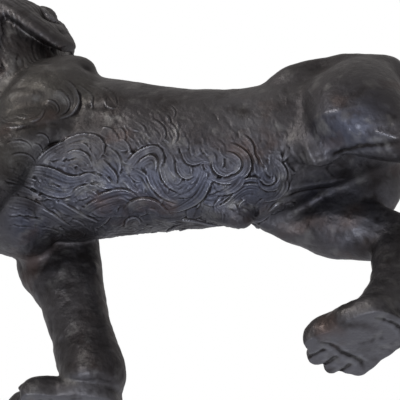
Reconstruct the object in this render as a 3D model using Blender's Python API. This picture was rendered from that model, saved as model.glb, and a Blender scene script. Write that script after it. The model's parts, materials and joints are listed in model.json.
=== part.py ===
# Bronze lion, striding with its head raised, standing free on four flat-soled paws.
# Metres, +Z up. The head is towards -X and the lion's left side towards -Y.
# The origin is on the ground, under the middle of the figure's bounding box.
import math
import random

import bmesh
import bpy
import numpy as np
from mathutils import Matrix, Vector

# Driving dimensions
BODY_LENGTH = 0.515  # from the nose to the rump
SHARES = 515  # the figure's tables are written in shares of the body length, this many to it
UNIT = BODY_LENGTH / SHARES

# How the clay is worked
CLAY_GRAIN = 2.0  # shares, size of the cells that fuse the masses
SOFTENING_PASSES = 4
SOFTENING_FACTOR = 0.5
FIGURE_TRIANGLES = 9600
RING_SIDES = 20
STRAND_SIDES = 12
LOCK_STEPS = 7

BRONZE_COLOUR = (0.045, 0.040, 0.038, 1.0)
BRONZE_ROUGHNESS = 0.42


def mirrored(rows):
    """The same mass on the other side of the body."""
    return [(x, -y, z, first, second) for x, y, z, first, second in rows]


# Masses of the body. A row is one ring: its centre x, y, z and two half sizes.
# A ring across X has its half height and half width.
# A ring across Z has its half size along X and along Y.
# Near is the lion's left side, towards -Y, and far is its right.

TRUNK = [
    (-196, 0, 237, 18, 16), (-188, 0, 237, 44, 34), (-170, 0, 237, 68, 50),
    (-140, 0, 236, 84, 62), (-100, 0, 236, 87, 65), (-60, 0, 228, 80, 64),
    (-20, 0, 218, 74, 59), (20, 0, 211, 70, 56), (50, 0, 209, 68, 53),
    (80, 0, 215, 66, 53), (112, 0, 227, 64, 53), (145, 0, 235, 60, 52),
    (175, 0, 239, 52, 47), (195, 0, 239, 38, 34), (206, 0, 239, 16, 14),
]
HIP = [
    (50, -16, 244, 6, 6), (62, -22, 248, 14, 14), (80, -28, 252, 22, 20),
    (104, -31, 256, 26, 23), (135, -31, 256, 27, 23), (165, -28, 254, 26, 21),
    (185, -23, 250, 20, 17), (198, -18, 246, 8, 8),
]
SHEATH = [
    (-2, 0, 152, 8, 10), (12, 2, 144, 13, 14), (28, 4, 138, 15, 14), (38, 5, 135, 14, 12),
    (46, 5, 136, 9, 9), (50, 5, 138, 5, 5),
]
FLANK_FOLD_NEAR = [
    (76, -30, 186, 12, 10), (90, -33, 184, 24, 13), (104, -36, 180, 32, 15),
    (120, -38, 176, 32, 15), (136, -40, 174, 16, 12),
]
FLANK_FOLD_FAR = [
    (44, 30, 156, 10, 10), (56, 36, 156, 14, 13), (68, 41, 155, 17, 15),
    (80, 45, 152, 19, 17), (94, 47, 150, 20, 17), (104, 47, 150, 10, 10),
]
SHANK_NEAR = [
    (142, -50, 166, 20, 18), (164, -51, 160, 26, 23), (190, -51, 150, 26, 22),
    (215, -50, 135, 22, 18), (240, -49, 121, 17, 15), (262, -48, 110, 15, 13),
    (276, -48, 107, 10, 9),
]
SHANK_FAR = [
    (78, 49, 160, 16, 15), (90, 49, 154, 25, 24), (110, 48, 146, 29, 26),
    (132, 45, 138, 30, 24), (154, 42, 130, 28, 20), (174, 39, 122, 21, 16),
    (190, 38, 119, 12, 11),
]
MASSES_ACROSS_X = (
    TRUNK, HIP, mirrored(HIP), SHEATH, FLANK_FOLD_NEAR, FLANK_FOLD_FAR, SHANK_NEAR, SHANK_FAR,
)

NECK = [
    (-160, 0, 236, 40, 44), (-164, 0, 270, 46, 46), (-168, 0, 305, 46, 44),
    (-180, -1, 340, 42, 40), (-200, -3, 372, 34, 34), (-214, -4, 396, 20, 22),
]
CHEST = [
    (-172, 0, 141, 10, 14), (-174, 0, 149, 28, 34), (-176, 0, 164, 38, 44),
    (-178, 0, 190, 44, 50), (-180, 0, 222, 47, 54), (-184, 0, 254, 49, 58),
    (-186, 0, 286, 50, 60), (-188, 0, 316, 46, 56), (-190, 0, 330, 20, 30),
]
MANE = [
    (-174, 0, 268, 34, 44), (-178, 0, 278, 52, 62), (-182, -1, 300, 58, 70),
    (-184, -2, 330, 61, 74), (-186, -3, 360, 61, 74), (-190, -4, 388, 58, 69),
    (-196, -5, 412, 50, 59), (-202, -6, 430, 38, 45), (-207, -6, 443, 22, 27),
    (-209, -6, 448, 8, 10),
]
SHOULDER_NEAR = [
    (-126, -38, 330, 14, 8), (-128, -43, 320, 32, 18), (-134, -48, 298, 42, 25),
    (-138, -52, 270, 46, 28), (-140, -54, 250, 46, 27), (-142, -53, 240, 42, 22),
    (-143, -50, 234, 32, 16),
]
UPPER_ARM_NEAR = [
    (-140, -46, 262, 36, 18), (-143, -50, 242, 42, 23), (-148, -54, 216, 39, 25),
    (-156, -54, 196, 30, 25), (-164, -54, 184, 22, 20),
]
FOREARM_NEAR = [
    (-164, -54, 214, 24, 20), (-174, -54, 196, 36, 26), (-186, -54, 170, 33, 26),
    (-202, -54, 142, 29, 24), (-218, -54, 116, 26, 22), (-231, -54, 90, 24, 21),
    (-240, -54, 66, 24, 22), (-246, -54, 46, 26, 24), (-250, -54, 28, 26, 26),
    (-252, -54, 12, 24, 26),
]
ELBOW_NEAR = [
    (-152, -52, 214, 6, 6), (-145, -52, 208, 10, 12), (-144, -52, 198, 11, 13),
    (-148, -52, 188, 8, 10),
]
SHOULDER_FAR = [
    (-112, 40, 325, 14, 8), (-115, 44, 312, 32, 18), (-122, 48, 292, 42, 22),
    (-130, 51, 265, 46, 24), (-138, 54, 235, 46, 25), (-146, 57, 205, 45, 26),
    (-151, 59, 180, 43, 27), (-150, 60, 160, 38, 26),
]
FOREARM_FAR = [
    (-150, 59, 190, 36, 22), (-153, 60, 172, 42, 27), (-150, 61, 150, 41, 27),
    (-142, 62, 130, 37, 26), (-134, 63, 110, 32, 24), (-126, 64, 90, 29, 23),
    (-118, 65, 68, 27, 22), (-111, 66, 48, 28, 24), (-109, 67, 32, 29, 27),
    (-113, 68, 14, 28, 28),
]
ELBOW_FAR = [
    (-136, 58, 178, 6, 6), (-128, 59, 170, 13, 12), (-123, 60, 158, 15, 15),
    (-123, 60, 146, 13, 14), (-127, 60, 134, 8, 8),
]
THIGH_NEAR = [
    (148, -14, 287, 20, 10), (147, -21, 276, 34, 18), (146, -29, 260, 41, 24),
    (146, -38, 236, 44, 29), (148, -45, 212, 45, 31), (150, -50, 190, 44, 30),
    (152, -52, 172, 44, 28), (158, -52, 158, 38, 24), (164, -50, 147, 24, 16),
]
HOCK_NEAR = [
    (268, -48, 120, 10, 9), (267, -48, 108, 15, 13), (266, -48, 92, 16, 14),
    (262, -48, 74, 16, 15), (258, -49, 56, 18, 17), (254, -49, 38, 22, 21),
    (250, -50, 20, 26, 25), (248, -50, 8, 26, 26),
]
THIGH_FAR = [
    (142, 14, 288, 22, 10), (138, 21, 276, 40, 18), (134, 29, 260, 50, 24),
    (132, 38, 236, 56, 30), (128, 44, 210, 57, 32), (124, 47, 186, 57, 31),
    (118, 49, 166, 54, 28), (108, 49, 150, 42, 25), (98, 48, 137, 20, 16),
]
HOCK_FAR = [
    (178, 39, 130, 11, 10), (175, 39, 116, 19, 16), (168, 36, 98, 23, 18),
    (162, 31, 78, 23, 18), (156, 26, 58, 23, 20), (150, 22, 40, 26, 23),
    (146, 20, 22, 28, 26), (144, 20, 8, 28, 27),
]
MASSES_ACROSS_Z = (
    NECK, CHEST, MANE, SHOULDER_NEAR, UPPER_ARM_NEAR, FOREARM_NEAR, ELBOW_NEAR, SHOULDER_FAR,
    FOREARM_FAR, ELBOW_FAR, THIGH_NEAR, HOCK_NEAR, THIGH_FAR, HOCK_FAR,
)

# Paws. Each has its centre x, y on the ground, its turn outwards in degrees, and its size
# against the standard paw. The standard paw faces -X, and all of it goes below the ground,
# where the soles are cut.
PAWS = {
    "fore near": (-276, -54, -6, 0.98),
    "fore far": (-136, 82, -8, 1.0),
    "hind near": (236, -50, -10, 0.96),
    "hind far": (125, 22.5, 36, 0.93),
}
PALM = [
    (46, 0, 8, 9, 12), (41, 0, 9, 18, 24), (30, 0, 9, 22, 31), (12, 0, 10, 23, 36),
    (-6, 0, 10, 22, 36), (-20, 0, 9, 19, 33), (-30, 0, 8, 14, 28),
]
TOE = [
    (24, 0, 8, 8, 6), (20, 0, 9, 15, 9), (11, 0, 9, 18, 10.8), (0, 0, 9, 17, 11.2),
    (-9, 0, 8, 15, 9.8), (-15, 0, 7, 11, 7.5), (-18, 0, 6, 5, 4),
]
TOES_ON_PALM = [(-21, -27, 16), (-34, -9.8, 4), (-34, 9.8, -5), (-21, 27, -16)]  # x, y, turn

# The head in its own frame, facing -X from the middle of the skull
HEAD_PLACE = (-242, -4, 372)
HEAD_NOD = 6.0  # degrees, nose down
HEAD_TURN = 14.0  # degrees, towards the lion's left
SKULL = [
    (46, 0, 8, 18, 18), (38, 0, 5, 30, 28), (20, 0, 3, 37, 34), (0, 0, 2, 38, 35),
    (-14, 0, 0, 36, 33), (-26, 0, -3, 31, 29), (-38, 0, -10, 26, 25),
    (-50, 0, -13, 24, 23), (-59, 0, -14, 21, 20), (-64, 0, -14, 14, 14), (-66, 0, -14, 7, 8),
]
NOSE_BRIDGE = [
    (-2, 0, 27, 7, 13), (-16, 0, 24, 9, 12), (-32, 0, 17, 10, 11), (-48, 0, 9, 11, 11),
    (-60, 0, 4, 10, 11.5), (-67, 0, 1, 8, 11), (-71, 0, -1, 4, 8),
]
CHIN = [
    (-4, 0, -30, 8, 14), (-16, 0, -35, 12, 19), (-34, 0, -40, 12, 17), (-48, 0, -42, 12, 15),
    (-57, 0, -41, 10, 12), (-62, 0, -39, 5, 7),
]
LIP = [
    (-30, -14, -20, 8, 7), (-38, -14, -20, 13, 11), (-50, -13, -19, 15, 12),
    (-60, -11, -18, 13, 11), (-67, -9, -17, 7, 7),
]
BROW = [
    (-8, -20, 20, 5, 5), (-16, -19, 19, 8, 8), (-25, -15, 15, 8, 8), (-32, -10, 12, 6, 5),
    (-35, -8, 10, 3, 3),
]
CHEEK = [
    (-2, -28, -8, 9, 6), (-12, -29, -8, 15, 9), (-24, -27, -9, 15, 9), (-34, -22, -11, 11, 8),
    (-40, -19, -13, 6, 5),
]
EAR = [(16, -36, 34, 9, 9), (13, -36, 34, 15, 14), (7, -36, 34, 15, 14), (4, -36, 34, 10, 9)]
HEAD_MASSES = (
    SKULL, NOSE_BRIDGE, CHIN, LIP, mirrored(LIP), BROW, mirrored(BROW), CHEEK, mirrored(CHEEK),
    EAR, mirrored(EAR),
)

# The tail's line, from its root in the rump to the tip of its tuft: x, y, z, half thickness
TAIL = [
    (180, 0, 258, 17), (200, 0, 258, 15.5), (222, 2, 252, 13), (244, 6, 236, 11),
    (262, 12, 212, 10), (274, 18, 184, 9.5), (284, 24, 156, 9), (296, 28, 132, 9.5),
    (311, 30, 117, 12), (328, 29, 112, 16), (345, 26, 117, 18), (358, 22, 129, 15),
    (366, 19, 143, 9), (370, 18, 153, 3),
]
TAIL_UP = Vector((0, 1, 0))

# Locks of hair. Each is laid on a mass along a few places, which say how far along the mass
# and how many degrees round it. Round the trunk 0 is the side and -90 the belly. Round the
# chest and the mane 0 is the front and 90 the lion's left.
FLANK_RISE = 4.4
FLANK_LOCKS = [  # half width, places
    (9, [(-46, -10), (-35, -24), (-25, -40), (-25, -56), (-14, -70)]),
    (9, [(-30, -8), (-20, -24), (-10, -40), (-12, -56), (-3, -68)]),
    (9, [(6, -44), (5, -58), (-6, -68), (-18, -76), (-31, -80)]),
    (9, [(24, -26), (37, -31), (46, -44), (38, -55), (24, -59), (11, -54)]),
    (9, [(56, -42), (69, -50), (78, -63), (72, -75), (57, -77)]),
    (9, [(-58, -86), (-45, -77), (-30, -74), (-17, -80), (-6, -92)]),
    (8, [(-98, -14), (-85, -19), (-75, -30), (-84, -40)]),
    (8, [(26, -80), (38, -70), (52, -69), (64, -79)]),
    (8, [(68, -14), (60, -34), (63, -56)]),
    (8, [(88, -20), (81, -44), (88, -68)]),
    (9, [(-72, -36), (-58, -46), (-51, -62), (-61, -76)]),
    (9, [(-104, -42), (-90, -50), (-80, -66), (-89, -80)]),
    (9, [(-124, -60), (-108, -66), (-94, -78), (-100, -94)]),
    (8, [(-4, -88), (9, -82), (23, -86), (32, -98)]),
]

HAIR_SEED = 7
PLACE_JITTER = 4  # shares, up and down
TURN_JITTER = 3  # degrees
HOOK_PLACES = 5  # on each hanging lock
HOOK_TURN = 0.75  # of the lock's sway, turned back at each place

MANE_RISE = 9.0
MANE_LOCK_HALF = 13
MANE_SWAY = 38  # degrees
MANE_RADIUS = 70
MANE_LEVELS = [(436, 30, 9), (418, 36, 13), (392, 42, 15), (362, 46, 15), (330, 46, 15), (302, 40, 15)]
FACE_OPENING = 48  # degrees each side of the front that the mane leaves to the face
FACE_TOP = 425

CHEST_RISE = 7.5
CHEST_LOCK_HALF = 12
CHEST_SWAY = 34  # degrees
CHEST_RADIUS = 50
CHEST_SPREAD = 110  # degrees each side of the front
CHEST_LEVELS = [(304, 44, 8), (270, 44, 8), (236, 42, 8), (204, 38, 7), (176, 30, 6)]

# The two long smooth locks that are combed back from behind the ears: place, half width
FLAP = [
    ((-204, -58, 424), 14), ((-188, -64, 408), 22), ((-168, -64, 387), 26),
    ((-148, -60, 364), 24), ((-131, -53, 346), 17), ((-123, -49, 337), 8),
]
FLAP_UP = Vector((0.35, -0.75, 0.55))
FLAP_FLATNESS = 0.42

# The ruff round the face, in the head's frame: how far back, how far out, half width
RUFF_LOCKS = 13
RUFF_SPREAD = 140  # degrees each side of the crown
RUFF_LINE = [(-14, 33, 6), (-6, 42, 10), (8, 48, 12), (26, 50, 11), (44, 50, 6)]
RUFF_FLATNESS = 0.6

LOCK_FLATNESS = 0.5
LOCK_ROOT = 0.12  # where the swell starts, as a share of a half wave
LOCK_REACH = 0.98  # where it ends
LOCK_LEAN = 0.8  # under 1 puts the widest place nearer the root
LOCK_TIP = 0.12  # the least half width, as a share of the lock's own
LOCK_END_RISE = 0.55  # the rise at a lock's ends, as a share of the rise at its middle
SLOPE_STEP = 3  # shares or degrees, over which a mass's slope is measured


def ring_points(row, across):
    """The points of one ring."""
    x, y, z, first, second = row
    points = []
    for step in range(RING_SIDES):
        turn = 2 * math.pi * step / RING_SIDES
        if across == "X":
            offset = Vector((0, second * math.cos(turn), first * math.sin(turn)))
        else:
            offset = Vector((first * math.cos(turn), second * math.sin(turn), 0))
        points.append(Vector((x, y, z)) + offset)
    return points


def join_rings(clay, rings):
    """Rings of points bridged one to the next, and closed at both ends."""
    loops = [[clay.verts.new(point) for point in ring] for ring in rings]
    made = [clay.faces.new(loops[0]), clay.faces.new(loops[-1])]
    for low, high in zip(loops, loops[1:]):
        for side in range(len(low)):
            after = (side + 1) % len(low)
            made.append(clay.faces.new((low[side], low[after], high[after], high[side])))
    bmesh.ops.recalc_face_normals(clay, faces=made)


def add_mass(clay, rows, across, place=None):
    place = place or Matrix.Identity(4)
    join_rings(clay, [[place @ point for point in ring_points(row, across)] for row in rows])


def add_strand(clay, line, flatness=1.0):
    """A round or flattened strand along a line of points, each with its half width and up."""
    rings = []
    for index, (point, half, up) in enumerate(line):
        ahead = line[min(index + 1, len(line) - 1)][0]
        behind = line[max(index - 1, 0)][0]
        along = (ahead - behind).normalized()
        side = along.cross(up).normalized()
        lift = side.cross(along)
        ring = []
        for step in range(STRAND_SIDES):
            turn = 2 * math.pi * step / STRAND_SIDES
            ring.append(point + half * (side * math.cos(turn) + lift * flatness * math.sin(turn)))
        rings.append(ring)
    join_rings(clay, rings)


def mass_point(rows, across, along, angle):
    """The place on a mass at a distance along it and an angle round it."""
    axis = "XYZ".index(across)
    stations = [row[axis] for row in rows]
    x, y, z, first, second = [np.interp(along, stations, column) for column in zip(*rows)]
    turn = math.radians(angle)
    if across == "X":
        return Vector((along, y - second * math.cos(turn), z + first * math.sin(turn)))
    return Vector((x - first * math.cos(turn), y - second * math.sin(turn), along))


def mass_normal(rows, across, along, angle):
    """The direction straight out of a mass."""
    step = SLOPE_STEP
    lengthways = mass_point(rows, across, along + step, angle) - mass_point(rows, across, along - step, angle)
    sideways = mass_point(rows, across, along, angle + step) - mass_point(rows, across, along, angle - step)
    normal = lengthways.cross(sideways).normalized()
    outwards = mass_point(rows, across, along, angle) - mass_point(rows, across, along, angle + 180)
    if normal.dot(outwards) < 0:
        normal.negate()
    return normal


def curve_at(places, share):
    """A smooth line through the places, at a share of its length."""
    spot = share * (len(places) - 1)
    index = min(int(spot), len(places) - 2)
    t = spot - index
    four = (places[max(index - 1, 0)], places[index], places[index + 1], places[min(index + 2, len(places) - 1)])
    return [
        (2 * b + (c - a) * t + (2 * a - 5 * b + 4 * c - d) * t * t + (3 * b - a - 3 * c + d) * t ** 3) / 2
        for a, b, c, d in zip(*four)
    ]


def add_lock(clay, rows, across, places, half, rise, mirror=1):
    """One tapering lock on a mass. It stands out by its rise, and its lower half is inside."""
    line = []
    for step in range(LOCK_STEPS + 1):
        share = step / LOCK_STEPS
        along, angle = curve_at(places, share)
        normal = mass_normal(rows, across, along, angle)
        swell = math.sin(math.pi * (LOCK_ROOT + (LOCK_REACH - LOCK_ROOT) * share) ** LOCK_LEAN)
        width = half * max(swell, LOCK_TIP)
        height = rise * (LOCK_END_RISE + (1 - LOCK_END_RISE) * math.sin(math.pi * share))
        centre = mass_point(rows, across, along, angle) + normal * (height - width * LOCK_FLATNESS)
        centre.y *= mirror
        normal.y *= mirror
        line.append((centre, width, normal))
    add_strand(clay, line, LOCK_FLATNESS)


def hanging_places(along, angle, length, radius, sway):
    """The places of a lock that hangs from a point, sways out and hooks its tip back."""
    places = []
    heading = -sway
    stride = length / (HOOK_PLACES - 1)
    for _ in range(HOOK_PLACES):
        places.append((along, angle))
        along -= stride * math.cos(math.radians(heading))
        angle += math.degrees(stride * math.sin(math.radians(heading)) / radius)
        heading += sway * HOOK_TURN
    return places


def add_mane_locks(clay, chance):
    for level, (height, length, count) in enumerate(MANE_LEVELS):
        for index in range(count):
            angle = 360 * (index + level % 2 / 2) / count + chance.uniform(-TURN_JITTER, TURN_JITTER)
            start = height + chance.uniform(-PLACE_JITTER, PLACE_JITTER)
            over_face = min(angle % 360, -angle % 360) < FACE_OPENING and height < FACE_TOP
            if not over_face:
                sway = MANE_SWAY if angle % 360 < 180 else -MANE_SWAY
                places = hanging_places(start, angle, length, MANE_RADIUS, sway)
                add_lock(clay, MANE, "Z", places, MANE_LOCK_HALF, MANE_RISE)


def add_chest_locks(clay, chance):
    for level, (height, length, count) in enumerate(CHEST_LEVELS):
        for index in range(count):
            angle = CHEST_SPREAD * (2 * (index + level % 2 / 2) / count - 1)
            angle += chance.uniform(-TURN_JITTER, TURN_JITTER)
            start = height + chance.uniform(-PLACE_JITTER, PLACE_JITTER)
            sway = math.copysign(CHEST_SWAY, angle)
            places = hanging_places(start, angle, length, CHEST_RADIUS, sway)
            add_lock(clay, CHEST, "Z", places, CHEST_LOCK_HALF, CHEST_RISE)


def add_flank_locks(clay):
    for half, places in FLANK_LOCKS:
        for mirror in (1, -1):
            add_lock(clay, TRUNK, "X", places, half, FLANK_RISE, mirror)


def add_flaps(clay):
    for mirror in (1, -1):
        side = Vector((1, mirror, 1))
        line = [(Vector(place) * side, half, FLAP_UP * side) for place, half in FLAP]
        add_strand(clay, line, FLAP_FLATNESS)


def head_frame():
    return (
        Matrix.Translation(HEAD_PLACE)
        @ Matrix.Rotation(math.radians(HEAD_TURN), 4, "Z")
        @ Matrix.Rotation(math.radians(-HEAD_NOD), 4, "Y")
    )


def add_ruff(clay):
    """The locks that frame the face and sweep back from it."""
    frame = head_frame()
    for index in range(RUFF_LOCKS):
        turn = math.radians(RUFF_SPREAD * (2 * index / (RUFF_LOCKS - 1) - 1))
        out = Vector((0, math.sin(turn), math.cos(turn)))
        line = []
        for back, reach, half in RUFF_LINE:
            place = Vector((back, 0, 0)) + out * reach
            line.append((frame @ place, half, frame.to_3x3() @ out))
        add_strand(clay, line, RUFF_FLATNESS)


def add_body(clay):
    for rows in MASSES_ACROSS_X:
        add_mass(clay, rows, "X")
    for rows in MASSES_ACROSS_Z:
        add_mass(clay, rows, "Z")


def add_head(clay):
    for rows in HEAD_MASSES:
        add_mass(clay, rows, "X", head_frame())


def add_paws(clay):
    for x, y, outwards, size in PAWS.values():
        turn = math.radians(outwards if y < 0 else -outwards)
        frame = Matrix.Translation((x, y, 0)) @ Matrix.Rotation(turn, 4, "Z") @ Matrix.Scale(size, 4)
        add_mass(clay, PALM, "X", frame)
        for toe_x, toe_y, toe_turn in TOES_ON_PALM:
            toe = Matrix.Translation((toe_x, toe_y, 0)) @ Matrix.Rotation(math.radians(toe_turn), 4, "Z")
            add_mass(clay, TOE, "X", frame @ toe)


def add_tail(clay):
    add_strand(clay, [(Vector((x, y, z)), half, TAIL_UP) for x, y, z, half in TAIL])


def modelled_clay():
    """All the masses and locks, as closed shells that run into each other."""
    chance = random.Random(HAIR_SEED)
    clay = bmesh.new()
    add_body(clay)
    add_paws(clay)
    add_head(clay)
    add_ruff(clay)
    add_mane_locks(clay, chance)
    add_chest_locks(clay, chance)
    add_flank_locks(clay)
    add_flaps(clay)
    add_tail(clay)
    bmesh.ops.scale(clay, vec=(UNIT, UNIT, UNIT), verts=clay.verts)
    mesh = bpy.data.meshes.new("clay")
    clay.to_mesh(mesh)
    clay.free()
    return mesh


def evaluated_mesh(model):
    return bpy.data.meshes.new_from_object(model.evaluated_get(bpy.context.evaluated_depsgraph_get()))


def fused_figure(clay_mesh):
    """One closed skin over all the shells, softened and faceted."""
    model = bpy.data.objects.new("clay", clay_mesh)
    bpy.context.scene.collection.objects.link(model)
    fuse = model.modifiers.new("fuse", "REMESH")
    fuse.mode = "VOXEL"
    fuse.voxel_size = CLAY_GRAIN * UNIT
    soften = model.modifiers.new("soften", "SMOOTH")
    soften.factor = SOFTENING_FACTOR
    soften.iterations = SOFTENING_PASSES
    triangles = 2 * len(evaluated_mesh(model).polygons)
    facet = model.modifiers.new("facet", "DECIMATE")
    facet.ratio = FIGURE_TRIANGLES / triangles
    mesh = evaluated_mesh(model)
    bpy.data.objects.remove(model, do_unlink=True)
    mesh.name = "lion"
    return mesh


def cut_soles(body):
    """Cuts the figure flat where it stands, and closes the four soles."""
    everything = body.verts[:] + body.edges[:] + body.faces[:]
    bmesh.ops.bisect_plane(body, geom=everything, plane_co=(0, 0, 0), plane_no=(0, 0, 1), clear_inner=True)
    rims = [edge for edge in body.edges if edge.is_boundary]
    bmesh.ops.holes_fill(body, edges=rims, sides=0)
    bmesh.ops.triangulate(body, faces=body.faces[:])
    bmesh.ops.recalc_face_normals(body, faces=body.faces[:])


def centre_over_origin(body):
    """Moves the figure until the middle of its bounding box is over the origin."""
    for axis in (0, 1):
        places = [vert.co[axis] for vert in body.verts]
        middle = (min(places) + max(places)) / 2
        for vert in body.verts:
            vert.co[axis] -= middle


def bronze():
    metal = bpy.data.materials.new("bronze")
    metal.use_nodes = True
    shader = metal.node_tree.nodes["Principled BSDF"]
    shader.inputs["Base Color"].default_value = BRONZE_COLOUR
    shader.inputs["Metallic"].default_value = 1.0
    shader.inputs["Roughness"].default_value = BRONZE_ROUGHNESS
    return metal


def add_lion():
    mesh = fused_figure(modelled_clay())
    body = bmesh.new()
    body.from_mesh(mesh)
    cut_soles(body)
    centre_over_origin(body)
    body.to_mesh(mesh)
    body.free()
    mesh.materials.clear()
    mesh.materials.append(bronze())
    lion = bpy.data.objects.new("lion", mesh)
    bpy.context.scene.collection.objects.link(lion)


def clear_scene():
    for old in list(bpy.data.objects):
        bpy.data.objects.remove(old, do_unlink=True)


clear_scene()
add_lion()
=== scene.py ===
# %% [markdown]
# # A striding lion, cast in bronze
# The figure is modelled the way a sculptor works. Rough masses are built on an armature, the
# masses are fused into one skin, the coat is pressed into that skin lock by lock, and the metal
# gets its dark patina. All of it is in millimetres at first, because the tables read better so,
# and is brought to metres and onto the solid's place at the end.

# %% Open the frame
import json
import math
import random

import bpy
import numpy as np
from mathutils import Matrix, Vector
from mathutils.bvhtree import BVHTree

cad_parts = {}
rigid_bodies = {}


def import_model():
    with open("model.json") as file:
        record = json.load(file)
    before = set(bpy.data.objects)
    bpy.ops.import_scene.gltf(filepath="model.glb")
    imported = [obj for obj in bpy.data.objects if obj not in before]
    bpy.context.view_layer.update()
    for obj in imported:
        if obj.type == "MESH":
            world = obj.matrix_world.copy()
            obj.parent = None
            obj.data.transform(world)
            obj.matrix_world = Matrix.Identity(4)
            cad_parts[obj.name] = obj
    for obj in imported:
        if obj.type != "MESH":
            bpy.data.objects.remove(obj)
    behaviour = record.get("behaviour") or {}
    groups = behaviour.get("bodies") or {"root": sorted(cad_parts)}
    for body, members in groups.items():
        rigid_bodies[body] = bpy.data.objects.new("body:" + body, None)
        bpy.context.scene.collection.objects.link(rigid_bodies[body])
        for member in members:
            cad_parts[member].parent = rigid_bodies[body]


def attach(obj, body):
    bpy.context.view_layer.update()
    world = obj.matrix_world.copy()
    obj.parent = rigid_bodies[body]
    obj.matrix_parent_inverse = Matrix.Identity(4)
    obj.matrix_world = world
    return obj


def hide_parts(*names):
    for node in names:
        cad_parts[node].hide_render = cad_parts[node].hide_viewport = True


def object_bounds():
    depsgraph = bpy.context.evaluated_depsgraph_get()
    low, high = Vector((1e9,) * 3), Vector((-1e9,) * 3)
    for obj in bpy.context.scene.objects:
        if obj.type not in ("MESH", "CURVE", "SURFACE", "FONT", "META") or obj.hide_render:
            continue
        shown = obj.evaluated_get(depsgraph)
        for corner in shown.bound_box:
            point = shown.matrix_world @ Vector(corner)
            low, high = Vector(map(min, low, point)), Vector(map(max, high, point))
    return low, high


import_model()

cad_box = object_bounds()
print("box of the solid:", [tuple(round(value, 4) for value in corner) for corner in cad_box])

# %% [markdown]
# ## The masses
# A sculptor starts with plain volumes: barrel, neck, shoulders, thighs, legs. Each can be a loft
# through rings, so here a circle is added, stretched to the first ring, and extruded from ring to
# ring. A table row holds one ring: its centre x, y, z and two half sizes. Lofts are used rather
# than a box subdivided many times, because every ring can be placed against the photograph.

# %% A loft through rings
RING_SIDES = 32
RINGS_BETWEEN = 3
lofts = []


def finished_mass():
    """Ends the edit of a mass: normals outwards, its place and size applied."""
    bpy.ops.mesh.select_all(action="SELECT")
    bpy.ops.mesh.normals_make_consistent(inside=False)
    bpy.ops.object.mode_set(mode="OBJECT")
    bpy.ops.object.transform_apply(location=True, rotation=True, scale=True)
    return bpy.context.object


def stretch(first, second, across, centre):
    value = (1, second, first) if across == "X" else (first, second, 1)
    bpy.ops.transform.resize(value=value, center_override=centre)


def smooth_line(points, steps):
    """Points spaced along a smooth curve through the given ones."""
    points = np.array(points, float)
    spots = np.linspace(0, len(points) - 1, steps)
    index = np.minimum(spots.astype(int), len(points) - 2)
    t = (spots - index)[:, None]
    a, b = points[np.maximum(index - 1, 0)], points[index]
    c, d = points[index + 1], points[np.minimum(index + 2, len(points) - 1)]
    return (2 * b + (c - a) * t + (2 * a - 5 * b + 4 * c - d) * t ** 2
            + (3 * b - a - 3 * c + d) * t ** 3) / 2


def loft(rows, across):
    """One closed mass through its rings, which lie across X or across Z."""
    rows = smooth_line(rows, RINGS_BETWEEN * (len(rows) - 1) + 1).tolist()
    tilt = (0, math.pi / 2, 0) if across == "X" else (0, 0, 0)
    bpy.ops.object.select_all(action="DESELECT")
    bpy.ops.mesh.primitive_circle_add(
        vertices=RING_SIDES, radius=1, fill_type="NGON", enter_editmode=True,
        location=rows[0][:3], rotation=tilt)
    stretch(rows[0][3], rows[0][4], across, rows[0][:3])
    for before, after in zip(rows, rows[1:]):
        step = [b - a for a, b in zip(before[:3], after[:3])]
        bpy.ops.mesh.extrude_region_move(TRANSFORM_OT_translate={"value": step})
        stretch(after[3] / before[3], after[4] / before[4], across, after[:3])
    lofts.append(finished_mass())
    return lofts[-1]


def mirrored(rows):
    """The same mass on the other side of the body."""
    return [(x, -y, z, first, second) for x, y, z, first, second in rows]


# %% Barrel, hips and the folds of the flanks
TRUNK = [
    (-196, 0, 237, 18, 16), (-188, 0, 237, 44, 34), (-170, 0, 237, 68, 50),
    (-140, 0, 236, 84, 62), (-100, 0, 236, 87, 65), (-60, 0, 228, 80, 64),
    (-20, 0, 218, 74, 59), (20, 0, 211, 70, 56), (50, 0, 209, 68, 53),
    (80, 0, 215, 66, 53), (112, 0, 227, 64, 53), (145, 0, 235, 60, 52),
    (175, 0, 239, 52, 47), (195, 0, 239, 38, 34), (206, 0, 239, 16, 14),
]
HIP = [
    (50, -16, 244, 6, 6), (62, -22, 248, 14, 14), (80, -28, 252, 22, 20),
    (104, -31, 256, 26, 23), (135, -31, 256, 27, 23), (165, -28, 254, 26, 21),
    (185, -23, 250, 20, 17), (198, -18, 246, 8, 8),
]
SHEATH = [
    (-2, 0, 152, 8, 10), (12, 2, 147, 13, 14), (28, 4, 142, 15, 14), (38, 5, 139, 14, 12),
    (46, 5, 140, 9, 9), (50, 5, 141, 5, 5),
]
FLANK_FOLD_NEAR = [
    (76, -30, 186, 12, 10), (90, -33, 184, 24, 13), (104, -36, 180, 32, 15),
    (120, -38, 176, 32, 15), (136, -40, 174, 16, 12),
]
FLANK_FOLD_FAR = [
    (44, 30, 156, 10, 10), (56, 36, 156, 14, 13), (68, 41, 155, 17, 15),
    (80, 45, 152, 19, 17), (94, 47, 150, 20, 17), (104, 47, 150, 10, 10),
]
for rows in (TRUNK, HIP, mirrored(HIP), SHEATH, FLANK_FOLD_NEAR, FLANK_FOLD_FAR):
    loft(rows, "X")
print("barrel:", len(lofts), "masses")

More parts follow.
